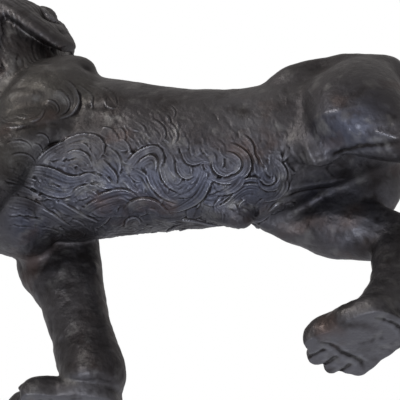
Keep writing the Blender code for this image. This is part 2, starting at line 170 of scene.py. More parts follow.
# %% Neck, chest and the body of the mane
NECK = [
    (-160, 0, 236, 40, 44), (-164, 0, 270, 46, 46), (-168, 0, 305, 46, 44),
    (-180, -1, 340, 42, 40), (-200, -3, 372, 34, 34), (-214, -4, 396, 20, 22),
]
CHEST = [
    (-172, 0, 141, 10, 14), (-174, 0, 149, 28, 34), (-176, 0, 164, 38, 44),
    (-178, 0, 190, 44, 50), (-180, 0, 222, 47, 54), (-184, 0, 254, 49, 58),
    (-186, 0, 286, 50, 60), (-188, 0, 316, 46, 56), (-190, 0, 330, 20, 30),
]
MANE = [
    (-174, 0, 268, 34, 44), (-178, 0, 278, 52, 62), (-182, -1, 300, 58, 70),
    (-187, -2, 330, 58, 74), (-189, -3, 360, 57, 74), (-193, -4, 388, 54, 69),
    (-196, -5, 412, 50, 59), (-202, -6, 430, 38, 45), (-207, -6, 443, 22, 27),
    (-209, -6, 448, 8, 10),
]
for rows in (NECK, CHEST, MANE):
    loft(rows, "Z")
print("with neck, chest and mane:", len(lofts), "masses")

# %% [markdown]
# ## The legs
# The lion is in mid stride, so no two legs are alike: the left foreleg and the right hind leg
# reach forward, and the other two trail. Each leg is a loft down its length, with a small mass of
# its own for the point of the elbow, as bone shows there under thin skin.

# %% Forelegs
SHOULDER_NEAR = [
    (-126, -38, 330, 14, 8), (-128, -43, 320, 32, 18), (-134, -48, 298, 42, 25),
    (-138, -52, 270, 46, 28), (-140, -54, 250, 46, 27), (-142, -53, 240, 42, 22),
    (-143, -50, 234, 32, 16),
]
UPPER_ARM_NEAR = [
    (-140, -46, 262, 36, 18), (-143, -50, 242, 42, 23), (-148, -54, 216, 39, 25),
    (-156, -54, 196, 30, 25), (-164, -54, 184, 22, 20),
]
FOREARM_NEAR = [
    (-164, -54, 214, 24, 20), (-174, -54, 196, 36, 26), (-186, -54, 170, 33, 26),
    (-202, -54, 142, 29, 24), (-218, -54, 116, 26, 22), (-231, -54, 90, 24, 21),
    (-240, -54, 66, 24, 22), (-246, -54, 46, 26, 24), (-250, -54, 28, 26, 26),
    (-252, -54, 12, 24, 26),
]
ELBOW_NEAR = [
    (-152, -52, 214, 6, 6), (-145, -52, 208, 10, 12), (-144, -52, 198, 11, 13),
    (-148, -52, 188, 8, 10),
]
SHOULDER_FAR = [
    (-112, 40, 325, 14, 8), (-115, 44, 312, 32, 18), (-122, 48, 292, 42, 22),
    (-130, 51, 265, 46, 24), (-138, 54, 235, 46, 25), (-151, 57, 205, 40, 26),
    (-158, 59, 180, 34, 27), (-156, 60, 160, 32, 26),
]
FOREARM_FAR = [
    (-150, 59, 190, 36, 22), (-153, 60, 172, 42, 27), (-150, 61, 150, 41, 27),
    (-142, 62, 130, 37, 26), (-134, 63, 110, 32, 24), (-129, 64, 90, 31, 23),
    (-122, 65, 68, 30, 22), (-116, 66, 48, 32, 24), (-112, 67, 32, 31, 27),
    (-113, 68, 14, 28, 28),
]
ELBOW_FAR = [
    (-136, 58, 178, 6, 6), (-128, 59, 170, 13, 12), (-123, 60, 158, 15, 15),
    (-123, 60, 146, 13, 14), (-127, 60, 134, 8, 8),
]
FORELEG_MASSES = (
    SHOULDER_NEAR, UPPER_ARM_NEAR, FOREARM_NEAR, ELBOW_NEAR, SHOULDER_FAR, FOREARM_FAR, ELBOW_FAR,
)
for rows in FORELEG_MASSES:
    loft(rows, "Z")
print("with the forelegs:", len(lofts), "masses")

# %% Hind legs
SHANK_NEAR = [
    (142, -50, 166, 20, 18), (164, -51, 160, 26, 23), (190, -51, 150, 26, 22),
    (215, -50, 135, 22, 18), (240, -49, 121, 17, 15), (262, -48, 110, 15, 13),
    (276, -48, 107, 10, 9),
]
SHANK_FAR = [
    (78, 49, 160, 16, 15), (90, 49, 154, 25, 24), (110, 48, 146, 29, 26),
    (132, 45, 138, 30, 24), (154, 42, 129, 30, 20), (174, 39, 122, 21, 16),
    (190, 38, 119, 12, 11),
]
THIGH_NEAR = [
    (148, -14, 287, 20, 10), (147, -21, 276, 34, 18), (146, -29, 260, 41, 24),
    (146, -38, 236, 44, 29), (148, -45, 212, 45, 31), (150, -50, 190, 44, 30),
    (152, -52, 172, 44, 28), (158, -52, 158, 38, 24), (164, -50, 147, 24, 16),
]
HOCK_NEAR = [
    (268, -48, 120, 10, 9), (267, -48, 108, 15, 13), (266, -48, 92, 16, 14),
    (262, -48, 74, 16, 15), (258, -49, 56, 18, 17), (254, -49, 38, 22, 21),
    (250, -50, 20, 26, 25), (248, -50, 8, 26, 26),
]
THIGH_FAR = [
    (142, 14, 288, 22, 10), (138, 21, 276, 40, 18), (134, 29, 260, 50, 24),
    (132, 38, 236, 56, 30), (128, 44, 210, 57, 32), (124, 47, 186, 57, 31),
    (118, 49, 166, 54, 28), (108, 49, 150, 42, 25), (98, 48, 137, 20, 16),
]
HOCK_FAR = [
    (177, 39, 130, 12, 10), (174, 39, 116, 21, 16), (168, 36, 98, 24, 18),
    (164, 31, 78, 22, 18), (160, 26, 58, 21, 20), (154, 23, 40, 23, 23),
    (146, 20, 22, 28, 26), (144, 20, 8, 28, 27),
]
for rows in (SHANK_NEAR, SHANK_FAR):
    loft(rows, "X")
for rows in (THIGH_NEAR, HOCK_NEAR, THIGH_FAR, HOCK_FAR):
    loft(rows, "Z")
print("with the hind legs:", len(lofts), "masses")

# %% [markdown]
# ## Blending the body
# On a living animal the skin runs over the shoulder and the haunch without a step. So the big
# masses are fused on their own first, with a coarse grain, and smoothed until one flows into the
# next. The finer masses are added after that, so that they stay crisp.

# %% Fuse the big masses
BODY_GRAIN, BODY_PASSES = 2.6, 26  # mm, rounds of smoothing


def fused(masses, grain, passes):
    """One closed skin over the masses, softened."""
    bpy.ops.object.select_all(action="DESELECT")
    for mass in masses:
        mass.select_set(True)
    bpy.context.view_layer.objects.active = masses[0]
    bpy.ops.object.join()
    skin = bpy.context.object
    fuse = skin.modifiers.new("fuse", "REMESH")
    fuse.mode = "VOXEL"
    fuse.voxel_size = grain
    bpy.ops.object.modifier_apply(modifier=fuse.name)
    soften = skin.modifiers.new("soften", "SMOOTH")
    soften.factor = 0.5
    soften.iterations = passes
    bpy.ops.object.modifier_apply(modifier=soften.name)
    return skin


body = fused(lofts, BODY_GRAIN, BODY_PASSES)
lofts = [body]
print("body:", len(body.data.vertices), "points")

# %% [markdown]
# ## The paws
# All four paws are alike, so one toe and one palm are modelled, and the rest are copies, each
# turned and set down in its place. They reach below the ground. The soles are pressed flat later,
# which gives them the lobed outline that the photograph shows from underneath.

# %% One palm, one toe, and their copies
PALM = [
    (46, 0, 8, 9, 12), (41, 0, 9, 18, 24), (30, 0, 9, 22, 31), (12, 0, 10, 23, 36),
    (-6, 0, 10, 22, 36), (-20, 0, 9, 19, 34), (-32, 0, 5, 16, 32), (-40, 0, 2, 14, 26),
    (-45, 0, 2, 9, 15),
]
TOE = [
    (24, 0, 8, 8, 6), (20, 0, 9, 15, 9), (11, 0, 9, 18, 10.8), (0, 0, 9, 17, 11.2),
    (-9, 0, 8, 15, 9.8), (-15, 0, 7, 11, 7.5), (-18, 0, 6, 5, 4),
]
CLAW = [
    (-12, 0, 15, 2.4, 2.6), (-16, 0, 14.6, 2.6, 2.4), (-19.5, 0, 12.4, 2.0, 1.9),
    (-21.4, 0, 9.4, 1.0, 1.0),
]
TOES_ON_PALM = [(-21, -27, 16), (-34, -9.8, 4), (-34, 9.8, -5), (-21, 27, -16)]  # x, y, turn
PAWS = {  # centre x, y, turn outwards in degrees, size
    "fore near": (-276, -54, -6, 0.98),
    "fore far": (-136, 82, -8, 1.0),
    "hind near": (236, -50, -10, 0.96),
    "hind far": (128, 27, 36, 0.93),
}


def set_down(piece, place):
    """A copy of the piece with its own mesh, moved there."""
    copy = piece.copy()
    copy.data = piece.data.copy()
    bpy.context.scene.collection.objects.link(copy)
    copy.data.transform(place)
    lofts.append(copy)


def paw_place(paw):
    x, y, outwards, size = PAWS[paw]
    turn = math.radians(outwards if y < 0 else -outwards)
    return Matrix.Translation((x, y, 0)) @ Matrix.Rotation(turn, 4, "Z") @ Matrix.Scale(size, 4)


def toe_place(toe):
    x, y, turn = toe
    return Matrix.Translation((x, y, 0)) @ Matrix.Rotation(math.radians(turn), 4, "Z")


palm, toe, claw = loft(PALM, "X"), loft(TOE, "X"), loft(CLAW, "X")
del lofts[-3:]
for paw in PAWS:
    set_down(palm, paw_place(paw))
    for spot in TOES_ON_PALM:
        set_down(toe, paw_place(paw) @ toe_place(spot))
        set_down(claw, paw_place(paw) @ toe_place(spot))
for model in (palm, toe, claw):
    bpy.data.objects.remove(model, do_unlink=True)
print("with the paws:", len(lofts), "masses")

# %% [markdown]
# ## The head
# The head is built level and facing straight ahead in its own frame, which keeps its two halves
# alike, and then nodded, turned and set on the neck. It lies outside the photograph, so it is a
# lion's head on ordinary proportions, and calm.

# %% Head masses
HEAD_NOD, HEAD_TURN = 6.0, 14.0  # degrees
head_place = (
    Matrix.Translation((-242, -4, 372))
    @ Matrix.Rotation(math.radians(HEAD_TURN), 4, "Z")
    @ Matrix.Rotation(math.radians(-HEAD_NOD), 4, "Y")
)
SKULL = [
    (46, 0, 8, 18, 18), (38, 0, 5, 30, 28), (20, 0, 3, 37, 34), (0, 0, 2, 38, 35),
    (-14, 0, 0, 36, 33), (-26, 0, -3, 31, 29), (-38, 0, -10, 26, 25),
    (-50, 0, -13, 24, 23), (-59, 0, -14, 21, 20), (-64, 0, -14, 14, 14), (-66, 0, -14, 7, 8),
]
NOSE_BRIDGE = [
    (-2, 0, 27, 7, 13), (-16, 0, 24, 9, 12), (-32, 0, 17, 10, 11), (-48, 0, 9, 11, 11),
    (-60, 0, 4, 10, 11.5), (-67, 0, 1, 8, 11), (-71, 0, -1, 4, 8),
]
CHIN = [
    (-4, 0, -30, 8, 14), (-16, 0, -35, 12, 19), (-34, 0, -40, 12, 17), (-48, 0, -42, 12, 15),
    (-57, 0, -41, 10, 12), (-62, 0, -39, 5, 7),
]
LIP = [
    (-30, -14, -20, 8, 7), (-38, -14, -20, 13, 11), (-50, -13, -19, 15, 12),
    (-60, -11, -18, 13, 11), (-67, -9, -17, 7, 7),
]
BROW = [
    (-8, -20, 20, 5, 5), (-16, -19, 19, 8, 8), (-25, -15, 15, 8, 8), (-32, -10, 12, 6, 5),
    (-35, -8, 10, 3, 3),
]
CHEEK = [
    (-2, -28, -8, 9, 6), (-12, -29, -8, 15, 9), (-24, -27, -9, 15, 9), (-34, -22, -11, 11, 8),
    (-40, -19, -13, 6, 5),
]
EAR = [(16, -36, 34, 9, 9), (13, -36, 34, 15, 14), (7, -36, 34, 15, 14), (4, -36, 34, 10, 9)]
EYE = [
    (-39, -20, 7, 1.5, 1.5), (-37.5, -20, 7, 4.6, 4.6), (-35, -20, 7, 6.8, 6.8),
    (-31, -20, 7, 7.8, 7.8), (-27, -20, 7, 6.8, 6.8), (-24, -20, 7, 3, 3),
]
NOSE_WING = [
    (-62, -6, 0, 4, 4), (-66, -7, 0, 5, 5), (-70, -6.5, -1, 4.5, 4.5), (-72, -6, -1, 2.5, 2.5),
]
HEAD_MASSES = (
    SKULL, NOSE_BRIDGE, CHIN, LIP, mirrored(LIP), BROW, mirrored(BROW), CHEEK, mirrored(CHEEK),
    EAR, mirrored(EAR), EYE, mirrored(EYE), NOSE_WING, mirrored(NOSE_WING),
)
for rows in HEAD_MASSES:
    loft(rows, "X").data.transform(head_place)
print("with the head:", len(lofts), "masses")

# %% [markdown]
# ## Hair with volume
# The mane, the ruff round the face, the chest hair and the tail's tuft stand well off the body,
# so they are strands of their own under the skin. One strand is modelled: a circle extruded along
# X. Every lock is a copy of it, laid along its own curved line with its own half widths.

# %% One strand
STRAND_SIDES, STRAND_STEPS = 14, 12


def model_strand():
    """A strand of length 1 along X and half width 1."""
    bpy.ops.object.select_all(action="DESELECT")
    bpy.ops.mesh.primitive_circle_add(
        vertices=STRAND_SIDES, radius=1, fill_type="NGON", enter_editmode=True,
        rotation=(0, math.pi / 2, 0))
    for _ in range(STRAND_STEPS):
        bpy.ops.mesh.extrude_region_move(
            TRANSFORM_OT_translate={"value": (1 / STRAND_STEPS, 0, 0)})
    return finished_mass()


def read(items, name, size=3):
    """A row of values for each point or face of a mesh."""
    flat = np.empty(len(items) * size, np.float32)
    items.foreach_get(name, flat)
    return flat.reshape(-1, size).astype(float)


strand = model_strand()
strand_shape = read(strand.data.vertices, "co")
print("one strand:", len(strand_shape), "points")


# %% Laying a strand along a line
def unit(vectors):
    return vectors / np.maximum(np.linalg.norm(vectors, axis=-1, keepdims=True), 1e-9)


def lay_strand(points, halves, ups, flatness):
    """A copy of the strand along the points, with its half width and its upward side at each."""
    steps = STRAND_STEPS + 1
    line, wide = smooth_line(points, steps), smooth_line(np.array(halves)[:, None], steps)
    up = unit(smooth_line(ups, steps))
    along = unit(np.gradient(line, axis=0))
    side = unit(np.cross(along, up))
    lift = np.cross(side, along)
    ring = np.rint(strand_shape[:, 0] * STRAND_STEPS).astype(int)
    laid = (line[ring] + wide[ring] * (side[ring] * strand_shape[:, 1:2]
            + lift[ring] * strand_shape[:, 2:3] * flatness))
    copy = strand.copy()
    copy.data = strand.data.copy()
    bpy.context.scene.collection.objects.link(copy)
    copy.data.vertices.foreach_set("co", laid.astype(np.float32).ravel())
    lofts.append(copy)


# %% Finding places on a mass
SLOPE_STEP = 3  # mm and degrees, to either side, over which a mass's slope is measured


def mass_point(rows, height, angle):
    """The place on a mass across Z at a height and an angle round it, 0 being the head's side."""
    heights = [row[2] for row in rows]
    x, y, _, first, second = [np.interp(height, heights, column) for column in zip(*rows)]
    turn = math.radians(angle)
    return np.array((x - first * math.cos(turn), y - second * math.sin(turn), height))


def mass_normal(rows, height, angle):
    """The direction straight out of a mass."""
    def at(up, round_it):
        return mass_point(rows, height + up, angle + round_it)

    normal = unit(np.cross(at(SLOPE_STEP, 0) - at(-SLOPE_STEP, 0),
                           at(0, SLOPE_STEP) - at(0, -SLOPE_STEP)))
    return normal if normal @ (at(0, 0) - at(0, 180)) > 0 else -normal


print("the mane's left side at 360 mm:", mass_point(MANE, 360, 90).round(1))

# %% Hanging locks of the mane and the chest
HAIR_SEED = 7
LOCK_FLATNESS = 0.5
LOCK_STEPS = 8
THINNEST = 0.12  # of the half width, at a lock's tip
MANE_RADIUS, CHEST_RADIUS = 70, 50  # mm, for turning a sideways step into an angle
hanging_locks = []  # each lock's middle line, half widths, upward sides and rise, for the comb


def swell_at(share):
    """A lock's width along its length: thick above the middle and thin at the tip."""
    return math.sin(math.pi * (0.12 + 0.86 * share) ** 0.8)


def lay_lock(rows, places, half, rise):
    """A tapering lock on a mass across Z, which stands out by its rise."""
    points, halves, ups = [], [], []
    shares = np.linspace(0, 1, LOCK_STEPS)
    for share, (height, angle) in zip(shares, smooth_line(places, LOCK_STEPS)):
        normal = mass_normal(rows, height, angle)
        width = half * max(swell_at(share), THINNEST)
        lift = rise * (0.55 + 0.45 * math.sin(math.pi * share))
        points.append(mass_point(rows, height, angle) + normal * (lift - width * LOCK_FLATNESS))
        halves.append(width)
        ups.append(normal)
    lay_strand(points, halves, ups, LOCK_FLATNESS)
    hanging_locks.append((points, halves, ups))


def hanging_places(height, angle, length, radius, sway):
    """The places of a lock that hangs from a point, sways out and hooks its tip back."""
    places, heading, stride = [], -sway, length / 4
    for _ in range(5):
        places.append((height, angle))
        height -= stride * math.cos(math.radians(heading))
        angle += math.degrees(stride * math.sin(math.radians(heading)) / radius)
        heading += sway * 0.75
    return places


def lay_mane(chance):
    levels = [  # height, length, half width and number of locks
        (322, 44, 11, 14), (346, 58, 11, 15), (372, 62, 11.5, 15), (398, 62, 11.5, 14),
        (420, 52, 11, 13), (436, 40, 10, 11),
    ]
    for level, (height, length, half, count) in enumerate(levels):
        for index in range(count):
            angle = 360 * (index + level % 2 / 2) / count + chance.uniform(-7, 7)
            start = height + chance.uniform(-9, 7)
            reach = length * chance.uniform(0.85, 1.25)
            turn = angle % 360
            over_face = min(turn, 360 - turn) < 46 and height < 425
            behind_flap = 96 < min(turn, 360 - turn) < 168 and 320 < height < 410
            sway = chance.uniform(22, 44) * (1 if turn < 180 else -1)
            if not over_face:
                lay_lock(MANE, hanging_places(start, angle, reach, MANE_RADIUS, sway), half,
                         1.5 if behind_flap else chance.uniform(7.5, 10.5))
    drops = (446.5, 445, 441, 434, 423)  # heights of a lock that runs down from the crown
    for index in range(9):
        angle = 40 * index + chance.uniform(-8, 8)
        lay_lock(MANE, [(drop, angle + 9 * step) for step, drop in enumerate(drops)], 9, 2.6)


def lay_chest(chance):
    levels = [  # height, length, half width, number of locks and the widest angle
        (186, 34, 9.5, 6, 66), (216, 44, 10, 8, 84), (248, 50, 10.5, 9, 100),
        (280, 52, 10.5, 9, 105), (306, 50, 10.5, 9, 105),
    ]
    for level, (height, length, half, count, widest) in enumerate(levels):
        for index in range(count):
            angle = widest * (2 * (index + level % 2 / 2) / count - 1) + chance.uniform(-6, 6)
            start = height + chance.uniform(-7, 7)
            sway = math.copysign(chance.uniform(20, 40), angle)
            reach = length * chance.uniform(0.85, 1.2)
            places = hanging_places(start, angle, reach, CHEST_RADIUS, sway)
            lay_lock(CHEST, places, half, chance.uniform(6, 9))


chance = random.Random(HAIR_SEED)
lay_mane(chance)
lay_chest(chance)
print("hanging locks:", len(hanging_locks))

# %% Ruff, combed-back locks and the tail
FLAP = [
    ((-208, -58, 428), 15), ((-192, -65, 413), 23), ((-171, -66, 392), 28),
    ((-150, -62, 370), 27), ((-133, -55, 353), 22), ((-123, -50, 341), 12),
]
FLAP_UP = np.array((0.35, -0.75, 0.55))
FLAP_FLATNESS = 0.42
RUFF_LINE = [  # back from the face, out from its middle, and half width
    (-14, 33, 6), (-6, 42, 10), (8, 48, 12), (26, 50, 11), (44, 50, 6),
]
TAIL = [
    (180, 0, 258, 17), (200, 0, 258, 15.5), (222, 2, 252, 13), (244, 6, 236, 11),
    (262, 12, 212, 10), (274, 18, 184, 9.5), (284, 24, 156, 9), (296, 28, 132, 9.5),
    (311, 30, 117, 12), (328, 29, 112, 16), (345, 26, 117, 18), (358, 22, 129, 15),
    (366, 19, 143, 9), (370, 18, 153, 3),
]


def lay_ruff():
    """The locks that frame the face and sweep back from it."""
    for turn in np.radians(np.linspace(-140, 140, 13)):
        out = Vector((0, math.sin(turn), math.cos(turn)))
        points = [head_place @ (Vector((back, 0, 0)) + out * far) for back, far, _ in RUFF_LINE]
        ups = [head_place.to_3x3() @ out] * len(RUFF_LINE)
        halves = [half for _, _, half in RUFF_LINE]
        lay_strand(points, halves, ups, 0.6)
        hanging_locks.append((points, halves, ups))


TUFT_LOCKS = 8


def lay_tuft():
    """The tail's tuft: locks that wind a little and meet at the tip."""
    core = TAIL[8:]
    for lock in range(TUFT_LOCKS):
        points, halves, ups = [], [], []
        for step, (x, y, z, half) in enumerate(core):
            turn = 2 * math.pi * lock / TUFT_LOCKS + 0.22 * step
            out = np.array((-0.5 * math.cos(turn), math.sin(turn), 0.85 * math.cos(turn)))
            points.append(np.array((x, y, z)) + out * half * 0.62)
            halves.append(max(half * 0.46, 2.0))
            ups.append(out)
        lay_strand(points, halves, ups, 0.8)
        hanging_locks.append((points, halves, ups))


EYELIDS = [
    ([(-41, -13, 4), (-38, -17, 11), (-31, -22, 14.5), (-23, -27, 12), (-18, -30, 7)], 2.6),
    ([(-41, -13, 4), (-38, -18, 0), (-32, -23, -2), (-25, -28, 1), (-18, -30, 7)], 2.2),
]
for mirror in (1, -1):
    for places, half in EYELIDS:
        points = [head_place @ Vector((x, y * mirror, z)) for x, y, z in places]
        ups = [head_place.to_3x3() @ Vector((-0.6, -0.8 * mirror, 0))] * len(places)
        lay_strand(points, [half] * len(places), ups, 1.0)
lay_ruff()
lay_tuft()
for mirror in (1, -1):
    side = np.array((1, mirror, 1))
    lay_strand([np.array(place) * side for place, _ in FLAP], [half for _, half in FLAP],
               [FLAP_UP * side] * len(FLAP), FLAP_FLATNESS)
for rows in (TAIL[:8], TAIL[6:]):
    lay_strand([row[:3] for row in rows], [row[3] for row in rows], [(0, 1, 0)] * len(rows), 1.0)
bpy.data.objects.remove(strand, do_unlink=True)
print("masses and strands:", len(lofts))

# %% [markdown]
# ## One skin
# Clay masses pressed together lose the seams between them. Voxel remeshing does the same: it lays
# one closed skin round everything. Its cells are small enough to carry the coat's locks, and a
# few smoothing passes take the steps off and let one mass flow into the next.

# %% Fuse everything
CLAY_GRAIN, CLAY_PASSES = 1.48, 6
lion = fused(lofts, CLAY_GRAIN, CLAY_PASSES)
bpy.ops.object.mode_set(mode="EDIT")
bpy.ops.mesh.select_mode(type="VERT")
bpy.ops.mesh.select_all(action="DESELECT")
bpy.ops.object.mode_set(mode="OBJECT")
before = len(lion.data.vertices)
lion.data.vertices[int(read(lion.data.vertices, "co")[:, 2].argmax())].select = True
bpy.ops.object.mode_set(mode="EDIT")
bpy.ops.mesh.select_linked()
bpy.ops.mesh.select_all(action="INVERT")
bpy.ops.mesh.delete(type="VERT")
bpy.ops.object.mode_set(mode="OBJECT")
print("skin:", len(lion.data.vertices), "points,", 2 * len(lion.data.polygons), "triangles;",
      "points of shut-in hollows taken out:", before - len(lion.data.vertices))

# %% [markdown]
# ## Flat soles
# A figure like this one stands on soles that were filed flat. A cut through the paws would leave a
# hard rim, so heights near the ground are squeezed along a soft curve instead, and the rim stays
# round.

# %% Flat soles
SOLE_ROUND = 0.7  # mm, softness of the rim where a paw meets the ground


def store(piece, points):
    piece.data.vertices.foreach_set("co", points.astype(np.float32).ravel())
    piece.data.update()


def pressed_flat(heights):
    """What is well above the ground stays, and what is below it ends on the ground."""
    return SOLE_ROUND * np.logaddexp(0, heights / SOLE_ROUND)


skin = read(lion.data.vertices, "co")
skin[:, 2] = pressed_flat(skin[:, 2])
store(lion, skin)
print("lowest and highest point:", skin[:, 2].min().round(3), skin[:, 2].max().round(1))

# %% [markdown]
# ## The camera
# The photograph looks up at the lion from its left and a little from behind, so the camera stands
# well below the ground. It is placed before the carving, because the coat's main locks are drawn
# through it: a place is named as it would be on a picture 400 wide and 400 high, and a ray from
# the camera through that place finds the skin.

# %% Camera place
PICTURE = 400
CAMERA_AZIMUTH, CAMERA_ELEVATION = math.radians(12), math.radians(-43)
CAMERA_DISTANCE = 1150.0  # mm
PICTURE_SCALE = 0.9  # mm for one step of the picture, where the camera aims
LENS, SENSOR = 115, 36
aim = np.array((0.0, 0.0, 160.0))
camera_back = np.array((
    math.sin(CAMERA_AZIMUTH) * math.cos(CAMERA_ELEVATION),
    -math.cos(CAMERA_AZIMUTH) * math.cos(CAMERA_ELEVATION),
    math.sin(CAMERA_ELEVATION),
))
camera_right = unit(np.cross(-camera_back, (0, 0, 1)))
camera_up = np.cross(camera_right, -camera_back)
camera_at = aim + camera_back * CAMERA_DISTANCE


def pictured(points):
    """Where points show on the picture."""
    offset = points - camera_at
    depth = -(offset @ camera_back) / CAMERA_DISTANCE * PICTURE_SCALE
    return np.stack((PICTURE / 2 + offset @ camera_right / depth,
                     PICTURE / 2 - offset @ camera_up / depth), axis=1)


print("the aim shows at", pictured(aim[None])[0])

# %% [markdown]
# ## A finer grain for the coat
# The curls of the left flank are the finest thing that the photograph shows. Their hairs are about
# 2 mm apart, which the skin's grain can't carry. So the faces that show there are picked by their
# place on the picture and subdivided once, and the rest of the skin stays as it is.

# %% Pick and subdivide
COAT_WINDOW = (0, 98, 350, 243)  # left, top, right and bottom on the picture
LOWEST, REARMOST, WIDEST = 112, 124, 78  # mm, so that the legs and the far side stay out
FACE_BACK, FACE_HALF, FACE_LOW, FACE_HIGH = -6, 36, -54, 30  # mm in the head's frame


def pick(piece):
    """Only this piece is selected, and active."""
    bpy.ops.object.select_all(action="DESELECT")
    piece.select_set(True)
    bpy.context.view_layer.objects.active = piece


centres, normals = read(lion.data.polygons, "center"), read(lion.data.polygons, "normal")
on_picture = pictured(centres)
left, top, right, bottom = COAT_WINDOW
shows = ((on_picture[:, 0] > left) & (on_picture[:, 0] < right) & (on_picture[:, 1] > top)
         & (on_picture[:, 1] < bottom) & (normals @ camera_back > -0.05)
         & (centres[:, 2] > LOWEST) & (centres[:, 0] < REARMOST)
         & (np.abs(centres[:, 1]) < WIDEST))
to_head = np.array(head_place.inverted())
in_head = centres @ to_head[:3, :3].T + to_head[:3, 3]
shows |= ((in_head[:, 0] < FACE_BACK) & (np.abs(in_head[:, 1]) < FACE_HALF)
          & (in_head[:, 2] > FACE_LOW) & (in_head[:, 2] < FACE_HIGH))
pick(lion)
bpy.ops.object.mode_set(mode="EDIT")
bpy.ops.mesh.select_mode(type="FACE")
bpy.ops.mesh.select_all(action="DESELECT")
bpy.ops.object.mode_set(mode="OBJECT")
lion.data.polygons.foreach_set("select", shows)
bpy.ops.object.mode_set(mode="EDIT")
bpy.ops.mesh.subdivide(number_cuts=1, smoothness=0)
bpy.ops.object.mode_set(mode="OBJECT")
skin = read(lion.data.vertices, "co")
lion.data.calc_loop_triangles()
print("faces made finer:", int(shows.sum()), "triangles now:", len(lion.data.loop_triangles))

# %% [markdown]
# ## An even skin, and places on it
# A voxel skin has fine steps. Averaging each point with its neighbours takes them off. Where the
# chest meets the right foreleg it is done many times over, as a thumb smears clay over a joint.
# Then the skin is put in a tree that finds where a ray meets it, so that a line drawn on the
# picture can be laid on the skin, and its mirror image on the other side.

# %% Evening out
SMEARS = 70  # rounds of averaging at a joint
JOINTS = [(62, 246, 15), (42, 251, 15), (24, 250, 12)]  # place on the picture, radius
edges = np.empty(len(lion.data.edges) * 2, np.int32)
lion.data.edges.foreach_get("vertices", edges)
edges = edges.reshape(-1, 2)
valence = np.maximum(np.bincount(edges.ravel(), minlength=len(skin)), 1)


def averaged(values, passes, share=0.6):
    """Values evened out over neighbouring points."""
    for _ in range(passes):
        total = np.bincount(edges[:, 0], values[edges[:, 1]], len(values))
        total += np.bincount(edges[:, 1], values[edges[:, 0]], len(values))
        values = (1 - share) * values + share * total / valence
    return values


def nearness(on_picture, places):
    """How near points are to soft round places on the picture: 1 in the middle, fading out."""
    total = np.zeros(len(on_picture))
    for u, v, radius in places:
        gap = np.hypot(on_picture[:, 0] - u, on_picture[:, 1] - v) / radius
        total = np.maximum(total, np.exp(-gap ** 2))
    return total


for axis in range(3):
    skin[:, axis] = averaged(skin[:, axis], 3)
joint = nearness(pictured(skin), JOINTS)
for axis in range(3):
    skin[:, axis] += joint * (averaged(skin[:, axis], SMEARS) - skin[:, axis])
store(lion, skin)
print("points smeared at the joint:", int((joint > 0.5).sum()))

# %% Finding the skin
facing = read(lion.data.vertex_normals, "vector")
faces = [tuple(face.vertices) for face in lion.data.polygons]
lion_tree = BVHTree.FromPolygons(skin.tolist(), faces)


def seen(u, v):
    """The place on the skin that shows at a place of the picture, and the skin's normal."""
    heading = (-camera_back * CAMERA_DISTANCE / PICTURE_SCALE + camera_right * (u - PICTURE / 2)
               - camera_up * (v - PICTURE / 2))
    place, normal, _, _ = lion_tree.ray_cast(Vector(camera_at), Vector(unit(heading)))
    return (None, None) if place is None else (np.array(place), np.array(normal))


def on_skin(place):
    """The nearest place on the skin, and the skin's normal."""
    found, normal, _, _ = lion_tree.find_nearest(Vector(place))
    return np.array(found), np.array(normal)


print("the picture's middle shows", seen(200, 200)[0].round(1))

# %% Lines on the skin
JUMP = 14.0  # mm, a step this long along a line means that it has left one form for another
RIGHTWARD = 0.15  # least part of the normal to the right, so that a line stays on that side


def traced(places):
    """Places and normals on the skin along a line of picture places, up to the form's edge."""
    points, normals = [], []
    for u, v in smooth_line(places, 2 * len(places)):
        place, normal = seen(u, v)
        if place is None or points and np.linalg.norm(place - points[-1]) > JUMP:
            if len(points) > 2:
                break
            points, normals = [], []
        if place is not None:
            points.append(place)
            normals.append(normal)
    return points, normals


def other_side(points, ups):
    """The same line on the lion's right side, settled on the skin there."""
    settled = []
    for point in points:
        place, normal = on_skin(point * (1, -1, 1))
        if np.linalg.norm(place - point * (1, -1, 1)) > JUMP or normal[1] < RIGHTWARD:
            break
        settled.append((place, normal))
    return [place for place, _ in settled], [normal for _, normal in settled]


def on_both_sides(tool, points, ups, *settings):
    """A tool used on a line and on its mirror image."""
    tool(points, ups, *settings)
    tool(*other_side(points, ups), *settings)


print("a line along the flank has", len(traced([(120, 150), (160, 150), (200, 150)])[0]), "points")

# %% [markdown]
# ## Tools for pressing
# Three tools carve the skin. A comb lays a lock: a band that rises to one standing edge, like a
# wave, with hairs drawn along it and a dark crease under the edge. A point draws a groove or
# pulls up a ridge. A thumb presses a hollow. They only change a height kept for every point of
# the skin, and one last move along the skin's normals makes the relief real. Locks laid later
# lie over the earlier ones, as real hair does.

# %% Points near a line
LIFT_LIMIT = 10  # mm, points further above or below a line belong to another form
TURN_LIMIT = 0.25  # least agreement of a point's normal with the line's upward side
order = np.argsort(skin[:, 0])
sorted_x = skin[order, 0]
relief = np.zeros(len(skin))  # mm
hair = np.zeros(len(skin))  # how far a point lies in a lock


def within(low, high):
    """The skin's points inside a box."""
    first, last = np.searchsorted(sorted_x, (low[0], high[0]))
    chosen = order[first:last]
    inside = np.all((skin[chosen, 1:] > low[1:]) & (skin[chosen, 1:] < high[1:]), axis=1)
    return chosen[inside]


